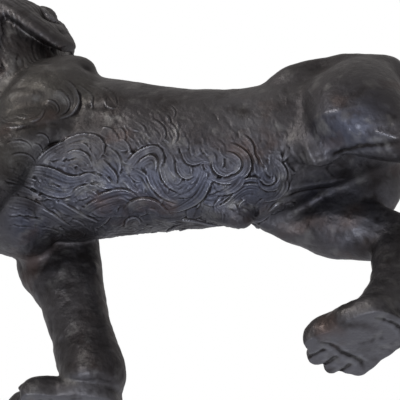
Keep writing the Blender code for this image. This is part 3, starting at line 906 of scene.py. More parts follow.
def measure(line, ups, halves, reach):
    """For points near a line: which, how far along it, to its side and away, and its width."""
    margin = halves.max() * reach + 2
    chosen = within(line.min(0) - margin, line.max(0) + margin)
    steps = line[1:] - line[:-1]
    offset = skin[chosen][:, None] - line[None, :-1]
    t = np.clip((offset * steps).sum(2) / np.maximum((steps ** 2).sum(1), 1e-9), 0, 1)
    gap = offset - t[..., None] * steps
    index = (gap ** 2).sum(2).argmin(1)
    row = np.arange(len(chosen))
    t, gap = t[row, index], gap[row, index]
    up = unit(ups[index] * (1 - t)[:, None] + ups[index + 1] * t[:, None])
    lift = (gap * up).sum(1)
    flat_gap = gap - up * lift[:, None]
    side = unit(np.cross(unit(steps)[index], up))
    half = halves[index] * (1 - t) + halves[index + 1] * t
    away = np.linalg.norm(flat_gap, axis=1) / half
    across = (flat_gap * side).sum(1) / half
    share = (index + t) / len(steps)
    fits = ((np.abs(lift) < LIFT_LIMIT) & ((facing[chosen] * up).sum(1) > TURN_LIMIT)
            & (away < reach))
    return chosen[fits], share[fits], across[fits], away[fits], half[fits]


def bend_side(line, ups):
    """1 or -1: the side of a line that lies on the outside of its bend."""
    along = unit(np.diff(line, axis=0))
    side = unit(np.cross(along, ups[:-1]))
    turn = (np.diff(along, axis=0) * side[:-1]).sum()
    return -1.0 if turn > 0 else 1.0


def ramp(low, high, values):
    """0 up to low, 1 from high on, and a smooth rise between."""
    t = np.clip((values - low) / (high - low), 0, 1)
    return t * t * (3 - 2 * t)


print("points to press:", len(skin))

# %% The comb
COMB_REACH, TIP = 1.7, 0.16  # both in half widths of the lock
comb_chance = np.random.default_rng(3)


def comb(points, ups, half, rise, hairs, deep=0.4, crease=0.6, dome=0.0):
    """A lock: its line, half width and rise in mm, and how many hairs it shows."""
    if len(points) < 3:
        return
    steps = max(10, 3 * len(points))
    line, up = smooth_line(points, steps), unit(smooth_line(ups, steps))
    share = np.linspace(0, 1, steps)
    halves = half * np.maximum(np.sin(math.pi * (TIP + 0.80 * share) ** 0.85), TIP)
    outer = bend_side(line, up)
    chosen, share, across, away, width = measure(line, up, halves, COMB_REACH)
    # The wave runs from -1 at the lock's inner edge to 1 at the outer, where the crest stands.
    wave = np.clip(across * outer, -1, 1)
    crest = ((wave + 1) / 2) ** 1.4
    round_top = np.sqrt(np.clip(1 - away ** 2, 0, 1))
    profile = (1 - dome) * crest + dome * round_top
    swell = ramp(0, 0.3, share) * (1 - 0.6 * ramp(0.65, 1, share))
    # The hairs slant across the lock, and no two are equally deep.
    phase, weight = comb_chance.uniform(0, 6.28), comb_chance.uniform(0.5, 1.0, 3)
    slant = 0 if dome else (2.0 + 7 * (weight[2] - 0.5)) * share
    strands = 0.5 - 0.5 * np.cos(math.pi * hairs * (wave + 1) - slant)
    uneven = 0.65 + 0.35 * np.sin(5 * wave * weight[0] + phase + 6 * share * weight[1])
    fade = 1 - ramp(0.82, 1.0, away)
    body = swell * (rise * profile - deep * (1 - strands) * uneven * fade)
    # The lock covers what lay there before, and casts a crease beside its crest.
    over = ramp(-1.0, -0.4, wave) if dome == 0 else 1.0
    over = over * (1 - ramp(0.94, 1.06, away)) * ramp(0, 0.15, share)
    over = over * (1 - 0.5 * ramp(0.9, 1, share))
    beyond = (away - 1) * width
    beside = np.exp(-((beyond - 0.9) / 0.8) ** 2) * ramp(-0.1, 0.6, wave) * (beyond > -0.4)
    relief[chosen] = relief[chosen] * (1 - over) + body * over - crease * beside * swell
    hair[chosen] = np.maximum(hair[chosen] * (1 - over), over * swell)


print("the comb reaches", COMB_REACH, "half widths")

# %% The point and the thumb
POINT_REACH, THUMB_REACH = 2.4, 2.2  # in half widths and in radii


def draw(points, ups, half, depth):
    """A ridge, or a groove where the depth is negative."""
    if len(points) < 2:
        return
    steps = max(6, 2 * len(points))
    line, up = smooth_line(points, steps), unit(smooth_line(ups, steps))
    chosen, share, _, away, _ = measure(line, up, np.full(steps, float(half)), POINT_REACH)
    fade = 0.15 + 0.85 * np.minimum(ramp(0, 0.25, share), 1 - ramp(0.75, 1, share))
    relief[chosen] += depth * np.exp(-away ** 2 * 1.4) * fade


def thumb(place, radius, depth):
    """A soft hollow, or a swelling where the depth is negative."""
    chosen = within(place - THUMB_REACH * radius, place + THUMB_REACH * radius)
    gap = np.linalg.norm(skin[chosen] - place, axis=1) / radius
    relief[chosen] -= depth * np.exp(-gap ** 2 * 1.6)


print("the point reaches", POINT_REACH, "half widths, the thumb", THUMB_REACH, "radii")

# %% [markdown]
# ## Soft forms under the coat
# Before any hair, the broad hollows and folds are pressed in: the pit behind the shoulder, the
# creases over the shoulder blade, the folds of skin in front of the thigh, and the groin.

# %% Hollows, folds and creases
HOLLOWS = [  # radius, depth, place on the picture
    (17, 2.5, (92, 116)), (13, 1.5, (112, 122)), (10, 2.0, (70, 124)), (7, 3.5, (54, 147)),
    (6, 2.5, (62, 143)), (6, 3.0, (131, 154)), (5, 2.5, (140, 151)), (6, 2.5, (70, 162)),
    (12, 2.0, (30, 195)), (10, 1.0, (318, 160)), (16, -1.0, (352, 132)), (14, -2.0, (356, 218)),
    (9, 2.5, (296, 158)), (12, -1.2, (60, 72)), (9, 1.5, (40, 100)), (10, -1.2, (22, 78)),
    (8, 1.5, (262, 208)), (9, 2.0, (310, 205)), (26, 7.5, (316, 62)), (20, -6.0, (392, 64)),
    (10, -2.0, (93, 268)),
    (12, 4.0, (87, 66)), (14, 5.0, (46, 15)), (10, 3.0, (61, 30)), (10, -1.5, (80, 376)),
]
FOLDS = [  # half width, depth, places on the picture
    (4.5, -1.4, [(2, 66), (20, 60), (38, 56), (56, 56), (74, 60)]),
    (4.0, 0.7, [(4, 74), (24, 68), (46, 65), (66, 68)]),
    (5.0, -0.8, [(0, 92), (18, 88), (34, 90), (48, 98)]),
    (3.5, -1.4, [(75, 88), (79, 98), (78, 109), (71, 118)]),
    (4.0, -1.2, [(84, 103), (92, 106), (100, 106), (108, 110)]),
    (4.0, -1.5, [(0, 129), (22, 127), (44, 124), (62, 123)]),
    (4.0, -1.6, [(236, 128), (243, 138), (249, 150), (257, 166)]),
    (3.5, -1.3, [(262, 140), (266, 152), (272, 160)]),
    (4.0, -1.6, [(280, 146), (282, 156), (287, 163), (293, 168), (292, 180)]),
    (3.5, 1.2, [(287, 140), (290, 152), (297, 162), (299, 172)]),
    (3.5, -1.5, [(300, 150), (304, 162), (311, 172), (318, 180)]),
    (3.0, 1.0, [(306, 146), (312, 160), (320, 170)]),
    (3.0, -1.3, [(322, 164), (328, 172), (335, 180)]),
    (6.0, -1.3, [(309, 130), (314, 140), (317, 152), (321, 163)]),
    (4.0, 1.0, [(308, 124), (324, 115), (346, 109), (370, 105)]),
    (4.5, -1.8, [(322, 156), (344, 152), (362, 147), (384, 145), (398, 146)]),
    (3.0, 1.3, [(372, 131), (386, 135), (399, 140)]),
    (2.5, 1.4, [(264, 199), (278, 193), (296, 187), (318, 184), (336, 181), (350, 178)]),
    (2.5, -1.6, [(268, 204), (284, 198), (302, 192), (322, 189), (340, 187)]),
    (2.5, -1.4, [(236, 200), (244, 196), (254, 197), (262, 202)]),
    (2.5, -1.6, [(252, 217), (255, 222), (258, 225)]),
]
for radius, depth, (u, v) in HOLLOWS:
    place, _ = seen(u, v)
    thumb(place, radius, depth)
    for other, _ in zip(*other_side([place], [None])):
        thumb(other, radius, depth)
for half, depth, places in FOLDS:
    on_both_sides(draw, *traced(places), half, depth)
print("hollows and folds:", len(HOLLOWS), "and", len(FOLDS))

# %% [markdown]
# ## The coat
# On the flank the hair lies in short curls that hook back on themselves, thick and deep towards
# the belly and thinning out into smooth skin higher up. A ground of small hooked locks that follow
# the run of the coat comes first, and the curls that show in the photograph are laid over it.

# %% The run of the coat
RUN = [  # a place on the picture and the way the hair runs there, in degrees, 90 being down
    (244, 212, 25), (230, 216, 20), (15, 215, 18), (40, 232, 12), (10, 190, 6), (30, 168, 10),
    (60, 150, -15), (85, 146, 15), (100, 160, 60), (45, 182, 15), (70, 190, 5),
    (90, 180, 10), (60, 212, 30), (90, 222, 28), (112, 204, -5), (124, 170, 20), (140, 184, 55),
    (155, 190, 60), (168, 182, 60), (170, 150, 80), (152, 130, 50), (185, 168, 70),
    (192, 190, 120), (172, 208, 165), (215, 165, 60), (236, 150, 45), (232, 182, 160),
    (220, 198, 165), (250, 188, 175), (266, 176, 100), (282, 172, 85), (256, 154, 60),
    (272, 148, 75), (290, 170, 90), (246, 202, 175), (130, 214, 0), (150, 222, 5),
]
COAT_EDGE = [
    (8, 172), (24, 160), (42, 156), (64, 138), (98, 132), (118, 128), (138, 116), (160, 108),
    (178, 110), (182, 136), (202, 146), (222, 138), (238, 130), (258, 146), (270, 144), (286, 156),
    (293, 178), (288, 192), (266, 203), (263, 214), (250, 223), (232, 224), (214, 219),
    (188, 221), (150, 227), (122, 233), (100, 238), (62, 243), (34, 240), (12, 228), (2, 204),
]


def run_at(u, v):
    """The way the hair runs at a place, from the nearest places of the table."""
    x = y = 0.0
    for at_u, at_v, way in RUN:
        weight = 1 / ((u - at_u) ** 2 + (v - at_v) ** 2 + 20) ** 1.5
        x += weight * math.cos(math.radians(way))
        y += weight * math.sin(math.radians(way))
    return math.atan2(y, x)


def inside_edge(u, v):
    """How far a place lies inside the coat's edge, and 0 where it lies outside."""
    inside, nearest = False, math.inf
    for (u1, v1), (u2, v2) in zip(COAT_EDGE, COAT_EDGE[1:] + COAT_EDGE[:1]):
        if (v1 > v) != (v2 > v) and u < u1 + (v - v1) * (u2 - u1) / (v2 - v1):
            inside = not inside
        t = ((u - u1) * (u2 - u1) + (v - v1) * (v2 - v1)) / ((u2 - u1) ** 2 + (v2 - v1) ** 2)
        t = min(max(t, 0), 1)
        nearest = min(nearest, math.hypot(u - u1 - t * (u2 - u1), v - v1 - t * (v2 - v1)))
    return nearest if inside else 0


# %% Ground of the coat
coat_chance = random.Random(11)
GROUND_STEP, GROUND_SIZE = 8.5, (36, 17)  # steps of the picture, locks across and down
BELLY_LINE = 212  # below it on the picture the belly is laid from the left side alone
EDGE_WIDTH = 16  # steps of the picture, over which the locks grow to full height


def small_lock(u, v):
    """A short hooked lock that follows the run of the coat."""
    way = run_at(u, v) + coat_chance.uniform(-0.35, 0.35)
    bend = coat_chance.choice((-1, 1)) * coat_chance.uniform(0.5, 1.6)
    stride = coat_chance.uniform(3.8, 5.6)
    u, v = u - 2 * stride * math.cos(way), v - 2 * stride * math.sin(way)
    places = []
    for _ in range(5):
        places.append((u, v))
        u, v = u + stride * math.cos(way), v + stride * math.sin(way)
        way += bend / 4
    return places


laid = 0
for row in range(GROUND_SIZE[1]):
    for column in range(GROUND_SIZE[0]):
        u = 4 + GROUND_STEP * (column + row % 2 / 2) + coat_chance.uniform(-2.5, 2.5)
        v = 104 + GROUND_STEP * row + coat_chance.uniform(-2.5, 2.5)
        places = small_lock(u, v)
        half, rise = coat_chance.uniform(3.0, 4.4), coat_chance.uniform(0.7, 1.1)
        depth = inside_edge(u, v)
        if depth > 0:
            strength = 0.25 + 0.75 * min(depth / EDGE_WIDTH, 1)
            points, ups = traced(places)
            settings = (half, rise * strength, 2, 0.4 * strength, 0.35 * strength)
            comb(points, ups, *settings)
            if v < BELLY_LINE:
                comb(*other_side(points, ups), *settings)
            laid += 1
print("small locks:", laid, "relief from", relief.min().round(2), "to", relief.max().round(2))

# %% Faint hairs above the coat
FAINT_HAIRS, FAINT_HALF = 170, 1.3  # number, half width in mm
for _ in range(FAINT_HAIRS):
    u, v = coat_chance.uniform(95, 330), coat_chance.uniform(92, 175)
    if inside_edge(u, v) == 0 and seen(u, v)[0] is not None:
        way = run_at(u, v) + coat_chance.uniform(-0.4, 0.4)
        reach, lean = coat_chance.uniform(3, 7), coat_chance.uniform(-0.5, 0.5)
        places = [(u + reach * step * math.cos(way + lean * step),
                   v + reach * step * math.sin(way + lean * step)) for step in (-1, 0, 1)]
        depth = coat_chance.choice((-1, 1)) * coat_chance.uniform(0.15, 0.35)
        on_both_sides(draw, *traced(places), FAINT_HALF, depth)
print("faint hairs tried:", FAINT_HAIRS)

# %% Curls that show in the photograph
CURLS = [  # half width, rise, hairs, places on the picture
    (5.0, 1.0, 3, [(56, 80), (65, 85), (72, 94), (73, 105), (67, 114), (57, 119)]),
    (4.0, 1.0, 3, [(50, 92), (58, 95), (64, 103), (62, 111), (54, 117)]),
    (3.5, 0.8, 2, [(44, 102), (51, 105), (54, 111), (48, 117)]),
    (3.5, 0.9, 2, [(0, 117), (8, 121), (17, 122)]),
    (3.5, 0.9, 2, [(14, 114), (24, 117), (34, 115)]),
    (3.0, 0.9, 2, [(28, 121), (37, 117), (43, 109)]),
    (3.0, 0.8, 2, [(4, 126), (14, 127), (24, 125)]),
    (4.0, 0.8, 2, [(72, 86), (81, 91), (88, 98), (90, 106)]),
    (4.0, 0.8, 2, [(82, 85), (93, 90), (101, 97), (104, 106)]),
    (3.5, 0.8, 2, [(93, 86), (104, 92), (112, 100), (115, 109)]),
    (3.0, 0.7, 2, [(104, 104), (111, 107), (119, 108)]),
    (4.0, 0.9, 2, [(4, 148), (14, 145), (24, 146), (32, 151)]),
    (4.0, 0.9, 2, [(8, 160), (18, 158), (28, 160), (34, 166)]),
    (4.0, 0.9, 2, [(34, 138), (42, 139), (48, 144)]),
    (3.5, 0.8, 2, [(30, 146), (37, 150), (41, 157)]),
    (5.0, 1.0, 3, [(2, 176), (14, 178), (26, 183), (38, 186)]),
    (5.0, 1.0, 3, [(0, 188), (14, 190), (28, 194), (42, 201)]),
    (5.0, 1.0, 3, [(2, 202), (16, 202), (30, 206), (44, 213), (54, 221)]),
    (5.0, 0.9, 3, [(36, 232), (48, 233), (60, 236), (72, 239)]),
    (4.5, 1.0, 2, [(147, 120), (156, 127), (161, 135), (158, 143)]),
    (4.0, 0.9, 2, [(164, 122), (171, 131), (173, 139), (170, 146)]),
    (3.0, 0.8, 2, [(166, 106), (171, 112), (172, 119)]),
    (5.0, 1.2, 3, [(104, 150), (112, 158), (116, 168), (114, 178)]),
    (4.5, 1.2, 3, [(97, 160), (105, 170), (112, 178), (113, 187)]),
    (6.0, 1.6, 4, [(36, 168), (46, 158), (58, 150), (70, 145), (82, 147), (90, 155)]),
    (5.5, 1.6, 3, [(60, 148), (70, 142), (84, 139), (95, 143), (100, 151), (97, 158)]),
    (4.0, 1.4, 3, [(84, 136), (93, 139), (100, 145), (101, 153)]),
    (4.5, 1.5, 3, [(64, 158), (74, 155), (84, 158), (90, 166)]),
    (6.0, 1.6, 4, [(22, 172), (38, 172), (52, 176), (66, 182), (79, 181), (89, 176), (97, 181)]),
    (5.0, 1.4, 3, [(30, 184), (46, 190), (62, 193), (74, 188), (84, 181)]),
    (4.0, 1.3, 3, [(68, 200), (79, 193), (90, 188), (98, 191)]),
    (3.5, 1.2, 2, [(72, 196), (80, 190), (88, 187)]),
    (5.0, 1.3, 3, [(30, 210), (46, 216), (60, 224), (74, 231)]),
    (5.0, 1.3, 3, [(52, 204), (66, 211), (80, 219), (95, 224), (104, 229)]),
    (3.5, 1.2, 2, [(88, 228), (96, 225), (104, 219), (109, 215)]),
    (5.5, 1.4, 4, [(80, 217), (92, 208), (106, 203), (119, 201), (131, 204)]),
    (5.0, 1.4, 3, [(92, 203), (108, 197), (124, 194), (138, 199)]),
    (5.0, 1.6, 3, [(130, 172), (140, 177), (146, 187), (151, 195), (158, 200)]),
    (6.0, 2.0, 4, [(126, 170), (133, 162), (143, 155), (153, 152), (158, 159), (156, 170),
                   (158, 181)]),
    (4.0, 1.6, 3, [(136, 168), (144, 162), (151, 160), (153, 167), (152, 176)]),
    (5.5, 1.8, 4, [(150, 168), (152, 178), (158, 188), (166, 197), (177, 203)]),
    (5.0, 1.5, 3, [(162, 163), (165, 175), (171, 185), (179, 193)]),
    (4.0, 1.2, 3, [(178, 160), (180, 170), (186, 176), (195, 174)]),
    (5.5, 1.8, 4, [(203, 168), (200, 178), (195, 187), (186, 194), (175, 197)]),
    (6.0, 2.0, 4, [(209, 174), (203, 185), (196, 196), (185, 204), (171, 210), (158, 210)]),
    (4.0, 1.2, 3, [(184, 150), (187, 158), (194, 162), (203, 160)]),
    (5.0, 1.6, 3, [(238, 136), (246, 145), (250, 155), (257, 165)]),
    (6.5, 2.0, 4, [(222, 146), (233, 151), (242, 159), (243, 169), (235, 177), (222, 181),
                   (208, 178)]),
    (4.5, 1.6, 3, [(222, 154), (231, 158), (236, 164), (232, 171), (222, 173)]),
    (4.5, 1.5, 3, [(214, 158), (217, 168), (225, 173), (234, 170)]),
    (6.5, 1.9, 4, [(280, 190), (272, 192), (261, 188), (250, 184), (241, 189), (232, 197),
                   (220, 203)]),
    (5.5, 1.8, 4, [(268, 196), (257, 190), (246, 190), (237, 196), (228, 204), (214, 209)]),
    (5.0, 1.5, 3, [(242, 176), (236, 184), (226, 191), (213, 195)]),
    (5.5, 1.8, 4, [(270, 160), (278, 168), (280, 178), (273, 186), (263, 186), (257, 178)]),
    (3.5, 1.5, 2, [(262, 175), (266, 181), (272, 180), (273, 174)]),
    (5.5, 1.8, 4, [(124, 216), (131, 208), (141, 204), (152, 205), (162, 211), (171, 217)]),
    (3.5, 1.4, 2, [(126, 229), (128, 222), (135, 220), (139, 225)]),
    (4.5, 1.2, 3, [(150, 215), (162, 219), (174, 219), (186, 215)]),
    (5.0, 1.5, 3, [(283, 178), (282, 188), (274, 197), (262, 201)]),
]
for half, rise, hairs, places in CURLS:
    on_both_sides(comb, *traced(places), half, rise, hairs, 0.35 + 0.2 * rise, 0.15 + 0.4 * rise)
print("curls:", len(CURLS), "relief from", relief.min().round(2), "to", relief.max().round(2))

# %% Mane and chest combed through
for points, halves, ups in hanging_locks:
    top = [np.array(p) + np.array(u) * h * LOCK_FLATNESS for p, h, u in zip(points, halves, ups)]
    comb(top, [np.array(u) for u in ups], max(halves) * 0.95,
         rise=0.6, hairs=4, deep=1.0, crease=0.5, dome=0.7)
print("mane combed: relief from", relief.min().round(2), "to", relief.max().round(2))

# %% Streaks of the combed-back locks
STREAKS, STREAK_HALF, STREAK_DEPTH = 8, 1.6, -0.5  # number, mm, mm
for mirror in (1, -1):
    side = np.array((1, mirror, 1))
    up = unit(FLAP_UP) * side
    line = [(np.array(place) + FLAP_UP * half * FLAP_FLATNESS) * side for place, half in FLAP]
    line, halves = np.array(line), np.array([half for _, half in FLAP])
    spread = unit(np.cross(np.gradient(line, axis=0), up))
    for streak in np.linspace(-0.75, 0.75, STREAKS):
        sink = halves * FLAP_FLATNESS * 0.6 * streak ** 2
        points = line + spread * (halves * streak)[:, None] - up * sink[:, None]
        draw(list(points), [up] * len(points), STREAK_HALF, STREAK_DEPTH)
print("streaks:", 2 * STREAKS)

# %% [markdown]
# ## The face
# The features are cut into the clay with the same point and thumb: lids and pupils, the wings of
# the nose, the line of the mouth, the rows of whisker holes and the hollows of the ears. Each is
# drawn once in the head's own frame and repeated on its other half.

# %% Features
FACE_LINES = [  # half width, depth, places in the head's frame
    (1.2, -1.6, [(-41, -14, 4), (-38, -18, 8.5), (-32, -23, 11), (-24, -27, 10), (-20, -29, 7)]),
    (1.1, -1.3, [(-41, -14, 3.5), (-37, -19, 2), (-31, -24, 1.5), (-24, -28, 3.5), (-20, -29, 7)]),
    (1.6, 1.0, [(-42, -12, 5), (-39, -16, 11), (-32, -21, 14.5), (-23, -26, 13), (-17, -30, 8)]),
    (1.5, 0.7, [(-41, -13, 1), (-37, -19, -1.5), (-30, -25, -2), (-22, -29, 2)]),
    (2.2, -1.6, [(-47, -9, 6), (-43, -12, 5), (-40, -15, 3)]),
    (2.4, 1.5, [(-40, -8, 14), (-32, -13, 20), (-20, -21, 24), (-8, -27, 22)]),
    (1.8, -0.9, [(-36, -5, 19), (-24, -9, 27), (-12, -13, 31)]),
    (1.4, -2.6, [(-67, 0, -29), (-63, -8, -30.5), (-55, -15, -31.5), (-45, -19, -31),
                 (-34, -21, -27)]),
    (2.2, 1.0, [(-66, -3, -26), (-60, -12, -27), (-50, -18, -28), (-40, -21, -27)]),
    (1.2, -2.2, [(-73, -3, -1), (-72, -7, 0), (-69, -10, 0), (-66, -11, -3)]),
    (1.2, -1.1, [(-71, -4, -6), (-69, -8, -7), (-65, -11, -5)]),
    (1.6, -1.0, [(-62, -11, 4), (-58, -12, 2), (-54, -14, -2), (-46, -19, -6)]),
    (1.6, -0.8, [(-44, -20, -8), (-36, -25, -14), (-32, -27, -22)]),
    (1.4, -0.6, [(-22, -32, -4), (-14, -34, -6), (-6, -35, -9)]),
    (1.4, -0.6, [(-24, -31, -11), (-16, -33, -14), (-8, -34, -18)]),
    (1.4, -0.6, [(-28, -28, -20), (-20, -31, -24), (-12, -31, -28)]),
]
FACE_MIDDLE = [
    (1.4, -1.6, [(-72, 0, -5), (-72, 0, -12), (-70, 0, -20), (-67, 0, -28)]),
    (2.0, -0.9, [(-34, 0, 21), (-22, 0, 30), (-8, 0, 35)]),
    (1.6, -0.8, [(-64, 0, -44), (-62, 0, -48), (-58, 0, -52)]),
]
FACE_HOLLOWS = [  # radius, depth, place in the head's frame
    (2.0, 1.5, (-38, -21, 6)), (3.2, 1.6, (-71, -7, -2)), (8.0, 4.5, (3, -37, 35)),
    (5.0, 1.6, (-44, -15, 10)), (9.0, -1.2, (-52, -18, -18)),
]
WHISKER_ROWS = [(-13, 4), (-18, 5), (-23, 4)]  # height and number of holes
WHISKER_HOLE = (1.1, 0.8)  # radius, depth


def on_face(place, mirror):
    """The place and normal on the skin nearest to a place in the head's frame."""
    x, y, z = place
    return on_skin(head_place @ Vector((x, y * mirror, z)))


def face_line(half, depth, places, mirror):
    settled = [on_face(place, mirror) for place in smooth_line(places, 3 * len(places))]
    draw([place for place, _ in settled], [normal for _, normal in settled], half, depth)


for line in FACE_MIDDLE:
    face_line(*line, 1)
for mirror in (1, -1):
    for line in FACE_LINES:
        face_line(*line, mirror)
    for radius, depth, place in FACE_HOLLOWS:
        thumb(on_face(place, mirror)[0], radius, depth)
    for height, count in WHISKER_ROWS:
        for hole in range(count):
            place = (-62 + 5 * hole, -14 - 2.2 * hole, height + hole)
            thumb(on_face(place, mirror)[0], *WHISKER_HOLE)
print("features:", len(FACE_LINES), "lines on each half of the face")

# %% [markdown]
# ## Soles
# The photograph shows a sole from below: flat, with soft creases that part the toes from the pad.

# %% Creases of the soles
SOLE_CREASES = [
    [(-26, -31), (-19, -18), (-22, 0), (-19, 18), (-26, 31)],
    [(-50, -19), (-38, -18), (-25, -16)], [(-56, 0), (-40, 0), (-26, 0)],
    [(-50, 19), (-38, 18), (-25, 16)], [(30, -22), (36, -8), (37, 8), (31, 22)],
]
SOLE_CREASE = (3.4, -1.7)  # half width, depth
DOWN = np.array((0.0, 0.0, -1.0))
for paw in PAWS:
    for crease in SOLE_CREASES:
        points = [np.array(paw_place(paw) @ Vector((x, y, 0))) for x, y in crease]
        draw(points, [DOWN] * len(points), *SOLE_CREASE)
print("soles creased:", len(PAWS))

# %% [markdown]
# ## Making the relief real
# Every point moves along the skin's normal by the height that the tools left there. The heights
# are also kept on the mesh, so that the patina can be darker in the hollows.

# %% Move the skin
TOUCH_LENGTHS = (40, 31, 24, 19, 15, 12, 9.5, 7.5)  # mm, the unevenness of worked clay
TOUCH_HEIGHT = 0.17  # mm
HOLLOW_DEPTH = 0.6  # mm below its surroundings, where a hollow counts as full
clay_chance = np.random.default_rng(5)
touch = np.zeros(len(skin))
for length in TOUCH_LENGTHS:
    for _ in range(3):
        heading = unit(clay_chance.normal(size=3))
        bend = np.sin(skin @ unit(clay_chance.normal(size=3)) / length * 2)
        touch += (length / 40) ** 0.8 * np.sin(skin @ heading * 2 * math.pi / length + 2 * bend)
on_legs = 1 - ramp(140, 190, skin[:, 2])
touch = TOUCH_HEIGHT * touch * (0.55 + 0.45 * on_legs) * (1 - 0.7 * hair)
relief = averaged(relief, 1, 0.4) + touch
on_ground = 1 - ramp(0, 6, skin[:, 2])
relief = np.where(relief > 0, relief * (1 - on_ground), relief)
carved = skin + facing * relief[:, None]
carved[:, 2] = np.maximum(carved[:, 2], 0)
hollow = np.clip((averaged(relief, 14) - relief) / HOLLOW_DEPTH, -1, 1)
print("moved by", relief.min().round(2), "to", relief.max().round(2), "mm")

# %% [markdown]
# ## Where the colours lie
# The patina isn't one colour, and light and shade are painted into it too: a bluish painted sheen
# over the curls and on the thighs, an olive tint over the shoulder, painted shade along the folds,
# in the recesses and on the undersides, and painted light on a few places that lie in shade. Each
# zone is a set of soft round places on the picture. They are kept on the mesh as values from 0 to
# 1, so that the colour stays on the skin from whatever side it is seen.

# %% Colour zones
# Painted sheen: a bluish tint over the curls and the thighs that stands in for cool light reflected
# there.
PAINTED_SHEEN = [  # place on the picture, radius
    (60, 185, 40), (110, 190, 40), (150, 190, 40), (200, 190, 40), (250, 185, 36), (350, 128, 34),
    (28, 222, 22), (320, 195, 20), (352, 214, 28),
]
OLIVE = [(40, 90, 45), (10, 160, 30), (20, 110, 40), (80, 90, 20)]
# Painted light: paler patches on the wrist, the thighs and the upper flank that brighten places
# lying in shade.
PAINTED_LIGHT = [(85, 390, 18), (80, 374, 10), (352, 216, 24), (345, 160, 10), (240, 114, 26)]
# Painted shade: darker patches where shade falls, under the flap, below the shoulder, along the
# belly's edge, in the groin, in folds and low on the legs.
PAINTED_SHADE = [
    (14, 36, 20), (40, 44, 12), (54, 148, 10), (132, 154, 6), (106, 156, 7), (320, 200, 14),
    (10, 131, 16), (32, 130, 16), (54, 129, 15), (76, 127, 15), (98, 118, 15), (114, 114, 9),
    (24, 106, 16), (48, 108, 14), (128, 228, 10), (146, 226, 9), (164, 225, 9), (182, 223, 9),
    (200, 221, 9), (216, 218, 9), (80, 356, 28), (104, 372, 20), (58, 250, 14), (84, 248, 14),
    (30, 205, 10), (310, 212, 12), (345, 172, 10), (366, 168, 10), (388, 165, 12), (246, 214, 15),
]
# A thinner painted shade over broader places.
THIN_PAINTED_SHADE = [
    (340, 84, 38), (20, 104, 26), (365, 245, 16), (170, 222, 16), (140, 224, 16), (200, 219, 14),
    (72, 186, 30),
]
THIN = 0.4  # of the full painted shade
on_picture = pictured(skin)
shown = ramp(-0.45, 0.05, facing @ camera_back)
# The painted shade, full in some places and thinner in others.
painted_shade = np.maximum(nearness(on_picture, PAINTED_SHADE) * shown,
                  THIN * (nearness(on_picture, THIN_PAINTED_SHADE) * shown))
zones = {
    "hollow": hollow,
    "painted_sheen_zone": nearness(on_picture, PAINTED_SHEEN) * shown,
    "olive": nearness(on_picture, OLIVE) * shown,
    "sole": 1 - ramp(0.2, 1.5, skin[:, 2]),
    "painted_shade_zone": painted_shade,
    "painted_light_zone": nearness(on_picture, PAINTED_LIGHT) * shown,
}
for name, values in zones.items():
    print(name, "covers", int((values > 0.5).sum()), "points")

# %% Set it in the solid's place
low, high = np.array(cad_box[0]), np.array(cad_box[1])
metres = carved / 1000
reach = metres.max(0) - metres.min(0)
fitted = (metres - metres.min(0)) * ((high - low) / reach) + low
print("drawn to the box by", ((high - low) / reach).round(4))
store(lion, fitted)
for name, values in zones.items():
    layer = lion.data.attributes.new(name, "FLOAT", "POINT")
    layer.data.foreach_set("value", values.astype(np.float32))
lion.data.shade_smooth()
whole = lion.data.attributes.new("whole", "FLOAT_VECTOR", "POINT")
smooth_normals = read(lion.data.vertex_normals, "vector").astype(np.float32)
whole.data.foreach_set("vector", smooth_normals.ravel())

# %% [markdown]
# ## Parts of the casting
# A bronze of this size is cast in parts, which are welded and chased until no seam shows. The skin
# is parted in the same way, by planes across the body, so that no part is too heavy to handle.
# Each part is closed with a flat face inside the body. The shading of the whole skin is kept on
# every part, so the seams stay out of sight.

# %% Part the skin
PARTS = ("lion_head", "lion_mane", "lion_shoulders", "lion_barrel", "lion_hindquarters")
sides_of_faces = np.empty(len(lion.data.polygons), np.int32)
lion.data.polygons.foreach_get("loop_total", sides_of_faces)
centre_x = read(lion.data.polygons, "center")[:, 0]
from_head = np.argsort(centre_x)
heavy = np.cumsum(sides_of_faces[from_head] - 2)
seams = [centre_x[from_head[np.searchsorted(heavy, heavy[-1] * part / len(PARTS))]]
         for part in range(1, len(PARTS))]


def sawn(piece, seam, tail_side):
    """The piece keeps one side of a plane across X and is closed with a flat face."""
    pick(piece)
    bpy.ops.object.mode_set(mode="EDIT")
    bpy.ops.mesh.select_all(action="SELECT")
    bpy.ops.mesh.bisect(plane_co=(seam, 0, 0), plane_no=(1, 0, 0), use_fill=True,
                        clear_inner=tail_side, clear_outer=not tail_side)
    bpy.ops.object.mode_set(mode="OBJECT")


def shaded_as_whole(piece):
    """The corners get the whole skin's normals, except on the flat faces inside."""
    mesh = piece.data
    smooth = unit(read(mesh.attributes["whole"].data, "vector"))
    corner = np.empty(len(mesh.loops), np.int32)
    mesh.loops.foreach_get("vertex_index", corner)
    sides = np.empty(len(mesh.polygons), np.int32)
    mesh.polygons.foreach_get("loop_total", sides)
    flat = read(mesh.polygons, "normal")
    middle = read(mesh.polygons, "center")[:, 0]
    inside = (np.abs(flat[:, 0]) > 0.9999) & np.isin(middle.round(5), np.round(seams, 5))
    normals = np.where(np.repeat(inside, sides)[:, None],
                       np.repeat(flat, sides, axis=0), smooth[corner])
    mesh.normals_split_custom_set(normals.tolist())
    mesh.attributes.remove(mesh.attributes["whole"])


rest, parts = lion, []
for seam in seams:
    part = rest.copy()
    part.data = rest.data.copy()
    bpy.context.scene.collection.objects.link(part)
    sawn(part, seam, False)
    sawn(rest, seam, True)
    parts.append(part)
parts.append(rest)
for part, name in zip(parts, PARTS):
    part.name = part.data.name = name
    shaded_as_whole(part)
    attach(part, "root")
    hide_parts("lion")
    part.data.calc_loop_triangles()
    print(name, len(part.data.loop_triangles), "triangles")
